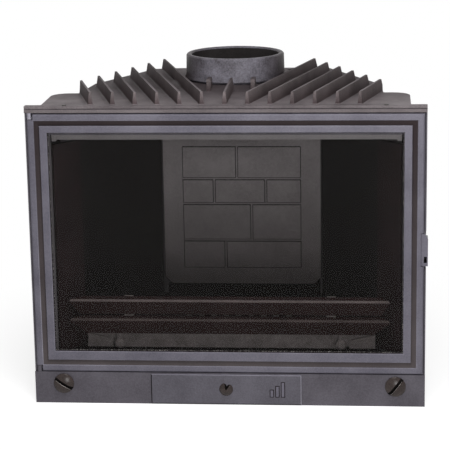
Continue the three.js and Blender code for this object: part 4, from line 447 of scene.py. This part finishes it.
finish_piece("air_slider_plate", slider, [slider_iron, highlight_paint, shade_black, band_and_highlight], "air_register",
             ["air_slider"])
MARK_PLACE = 92 * MM  # from the plate's middle to the mark's
MARK_PITCH = 10 * MM
MARK_BAR = 5 * MM
MARK_HEIGHTS = (12 * MM, 19 * MM, 26 * MM)
MARK_RELIEF = 1.2 * MM
# The rings are a thin dark sheet round each raised bar, painted as its shadow.
SHADOW_RING_RELIEF = 0.2 * MM
SHADOW_RING_WIDTH = 1.3 * MM  # dark border round each bar
knob_low, knob_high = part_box("slider_knob")
mark_foot = (knob_low[2] + knob_high[2] - MARK_HEIGHTS[-1]) / 2
for name, relief, ring, material in (
        ("slider_mark_bars", MARK_RELIEF, 0.0, band_and_highlight),
        ("slider_mark_painted_shadows", SHADOW_RING_RELIEF, SHADOW_RING_WIDTH, brown_lit_and_shaded)):
    mark = bmesh.new()
    for i, height in enumerate(MARK_HEIGHTS):
        x = (slider_low[0] + slider_high[0]) / 2 + MARK_PLACE + (i - 1) * MARK_PITCH
        middle = Vector((x, slider_low[1], mark_foot + height / 2))
        bmesh.ops.create_cube(mark, size=1.0, matrix=Matrix.Translation(middle) @ Matrix.Diagonal(
            (MARK_BAR + 2 * ring, 2 * relief, height + 2 * ring, 1)))
    soften(mark, list(mark.edges), 0.4 * relief / MM)
    finish_piece(name, mark, [material], "air_register", [])
KNOB_TURNS = 72
KNOB_RINGS = 14
NOTCH_AIM = math.radians(78)  # from the right, anticlockwise
NOTCH_SPREAD = math.radians(36)
NOTCH_DEPTH = 6 * MM
NOTCH_SHADE_SHARE = 0.8  # of the notch's spread
knob_radius = (knob_high[0] - knob_low[0]) / 2
knob_axis = Vector(((knob_low[0] + knob_high[0]) / 2, 0, (knob_low[2] + knob_high[2]) / 2))
knob_foot = knob_high[1]
knob = bmesh.new()
rings = []
for ring in range(KNOB_RINGS + 1):
    share = math.sin(math.radians(90) * ring / KNOB_RINGS)
    rise = knob_foot - (knob_foot - knob_low[1]) * math.cos(math.radians(90) * ring / KNOB_RINGS)
    rings.append([])
    for step in range(KNOB_TURNS):
        turn = 2 * math.pi * step / KNOB_TURNS
        off = abs((turn - NOTCH_AIM + math.pi) % (2 * math.pi) - math.pi) / NOTCH_SPREAD
        sunk = NOTCH_DEPTH * (1 - off) if off < 1 and 0 < ring < KNOB_RINGS else 0
        place = knob_axis + share * knob_radius * Vector((math.cos(turn), 0, math.sin(turn)))
        rings[-1].append(knob.verts.new((place.x, min(rise + sunk, knob_foot), place.z)))
for inner, outer in zip(rings, rings[1:]):
    for step in range(KNOB_TURNS):
        after = (step + 1) % KNOB_TURNS
        face = knob.faces.new((inner[step], inner[after], outer[after], outer[step]))
        aim = face.calc_center_median() - knob_axis
        off = abs(math.atan2(aim.z, aim.x) - NOTCH_AIM) / NOTCH_SPREAD
        # The middle of the notch is painted black as painted shade.
        face.material_index = 1 if off < NOTCH_SHADE_SHARE else 0
knob.faces.new(rings[-1])
bmesh.ops.remove_doubles(knob, verts=knob.verts, dist=0.01 * MM)
bmesh.ops.recalc_face_normals(knob, faces=knob.faces)
finish_piece("slider_knob_turned", knob, [turned_steel, shade_black], "air_register", ["slider_knob"])

# The two air valves: domed steel discs with a slot for a tool, one at each end of the fascia.
# They are browned and darker than the facade. Each slot is painted black as painted shade, with a painted
# highlight along its lower edge.
slot_edge_highlight = sand_cast("valve_slot_highlight_steel", "#b3aca8", "#8d8683", 1.2, 0.05, 0.35, metallic=0.3, patch_mm=10)
SLOT_HALF_WIDTH = 2.5 * MM
SLOT_REACH = 7 * MM  # from the disc's face to behind its slot
HIGHLIGHT_EDGE = 1.2 * MM
SLACK = 0.1 * MM
for side, slot_turn in (("left", -33), ("right", 52)):
    disc_low, disc_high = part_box(f"valve_disc_{side}")
    disc_middle = Vector([(low + high) / 2 for low, high in zip(disc_low, disc_high)])
    across = Vector((-math.sin(math.radians(slot_turn)), 0, math.cos(math.radians(slot_turn))))
    disc = merged_copy(f"valve_disc_{side}")
    for face in disc.faces:
        middle = face.calc_center_median()
        beside = (middle - disc_middle).dot(across)
        if abs(beside) < SLOT_HALF_WIDTH + SLACK and middle.y < disc_low[1] + SLOT_REACH:
            # Painted shade in the slot.
            face.material_index = 1
    for face in soften(disc, corners(disc, hollow=False, least=30), 1.1):
        beside = (face.calc_center_median() - disc_middle).dot(across)
        if -SLOT_HALF_WIDTH - HIGHLIGHT_EDGE < beside < -SLOT_HALF_WIDTH + SLACK:
            # Painted highlight on the slot's lower edge.
            face.material_index = 2
    finish_piece(f"valve_disc_{side}_turned", disc, [turned_steel, shade_black, slot_edge_highlight], f"valve_{side}",
                 [f"valve_disc_{side}"])

# The studio: a white floor that keeps the object's soft shadow, and a white backdrop.
# Near the object the floor is lit by the lamps, and further out it turns to plain white. Both look white
# where they are seen and light the object only a little.
FLOOR_DROP = 0.3 * MM  # keeps the floor clear of the underside


def seen_share(tree):
    """1 on rays from the camera, in reflections and through the glass, and 0 on the rays that only light."""
    path = add_node(tree, "ShaderNodeLightPath")
    direct = add_node(tree, "ShaderNodeMath", [
        (0, path.outputs["Is Camera Ray"]), (1, path.outputs["Is Glossy Ray"])], operation="MAXIMUM")
    return add_node(tree, "ShaderNodeMath", [
        (0, direct.outputs["Value"]), (1, path.outputs["Is Transmission Ray"])],
        operation="MAXIMUM").outputs["Value"]


floor_shape = bmesh.new()
bmesh.ops.create_grid(floor_shape, x_segments=1, y_segments=1, size=8.0)
floor_mesh = bpy.data.meshes.new("studio_floor")
floor_shape.to_mesh(floor_mesh)
floor_shape.free()
floor = bpy.data.objects.new("studio_floor", floor_mesh)
floor.location.z = cad_low[2] - FLOOR_DROP
bpy.context.scene.collection.objects.link(floor)
paper = bpy.data.materials.new("white_paper_floor")
paper.use_nodes = True
tree = paper.node_tree
tree.nodes.remove(tree.nodes["Principled BSDF"])
lit = add_node(tree, "ShaderNodeBsdfDiffuse", [("Color", linear("#e6e6e6"))])
glow = add_node(tree, "ShaderNodeEmission", [("Color", linear("#ffffff")), ("Strength", 0.80)])
both = add_node(tree, "ShaderNodeAddShader", [(0, lit.outputs["BSDF"]), (1, glow.outputs["Emission"])])
plain = add_node(tree, "ShaderNodeEmission", [("Color", linear("#ffffff")), ("Strength", 1.0)])
place = add_node(tree, "ShaderNodeTexCoord").outputs["Object"]
reach = add_node(tree, "ShaderNodeVectorMath", [(0, place)], operation="LENGTH").outputs["Value"]
fade = add_node(tree, "ShaderNodeMapRange", [("Value", reach), ("From Min", 0.40), ("From Max", 0.75)])
seen = add_node(tree, "ShaderNodeMixShader", [
    (0, fade.outputs["Result"]), (1, both.outputs["Shader"]), (2, plain.outputs["Emission"])])
whole = add_node(tree, "ShaderNodeMixShader", [
    (0, seen_share(tree)), (1, lit.outputs["BSDF"]), (2, seen.outputs["Shader"])])
tree.links.new(whole.outputs["Shader"], tree.nodes["Material Output"].inputs["Surface"])
floor_mesh.materials.append(paper)

world = bpy.data.worlds.new("white_studio")
bpy.context.scene.world = world
world.use_nodes = True
tree = world.node_tree
level = add_node(tree, "ShaderNodeMapRange", [("Value", seen_share(tree)), ("To Min", 0.06), ("To Max", 1.0)])
tree.links.new(level.outputs["Result"], tree.nodes["Background"].inputs["Strength"])
tree.nodes["Background"].inputs["Color"].default_value = linear("#ffffff")

# The lamps: a soft box over the roof's front edge and a larger one in front, a little to the right.
# The upper one lights the roof, the sloped faces and the top of the door most.
for name, place, aim, size, power in (
        ("overhead_softbox", (0.08, -0.80, 1.45), (0.0, -0.2, 0.4), 0.7, 9.0),
        ("front_softbox", (0.6, -3.0, 0.70), (0.0, -0.2, 0.35), 1.2, 36.0)):
    lamp = bpy.data.lights.new(name, "AREA")
    lamp.shape = "SQUARE"
    lamp.size = size
    lamp.energy = power
    holder = bpy.data.objects.new(name, lamp)
    holder.location = place
    holder.rotation_euler = (Vector(aim) - Vector(place)).to_track_quat("-Z", "Y").to_euler()
    bpy.context.scene.collection.objects.link(holder)

# The camera: 3 m in front of the door and a metre up, a little to the right, looking slightly down.
CAMERA_PLACE = (0.260, -3.280, 1.056)
PITCH = math.radians(13.48)
YAW = math.radians(-4.96)
ROLL = math.radians(-0.98)
ahead = Vector((math.sin(YAW) * math.cos(PITCH), math.cos(YAW) * math.cos(PITCH), -math.sin(PITCH)))
level_right = Vector((math.cos(YAW), -math.sin(YAW), 0))
level_up = level_right.cross(ahead)
right = level_right * math.cos(ROLL) + level_up * math.sin(ROLL)
up = level_up * math.cos(ROLL) - level_right * math.sin(ROLL)
camera_data = bpy.data.cameras.new("camera")
camera_data.sensor_width = 36.0
camera_data.lens = 141.76
camera = bpy.data.objects.new("camera", camera_data)
camera.matrix_world = Matrix.Translation(CAMERA_PLACE) @ Matrix((
    (right.x, up.x, -ahead.x), (right.y, up.y, -ahead.y), (right.z, up.z, -ahead.z))).to_4x4()
bpy.context.scene.collection.objects.link(camera)
bpy.context.scene.camera = camera
bpy.context.scene.view_settings.view_transform = "Standard"
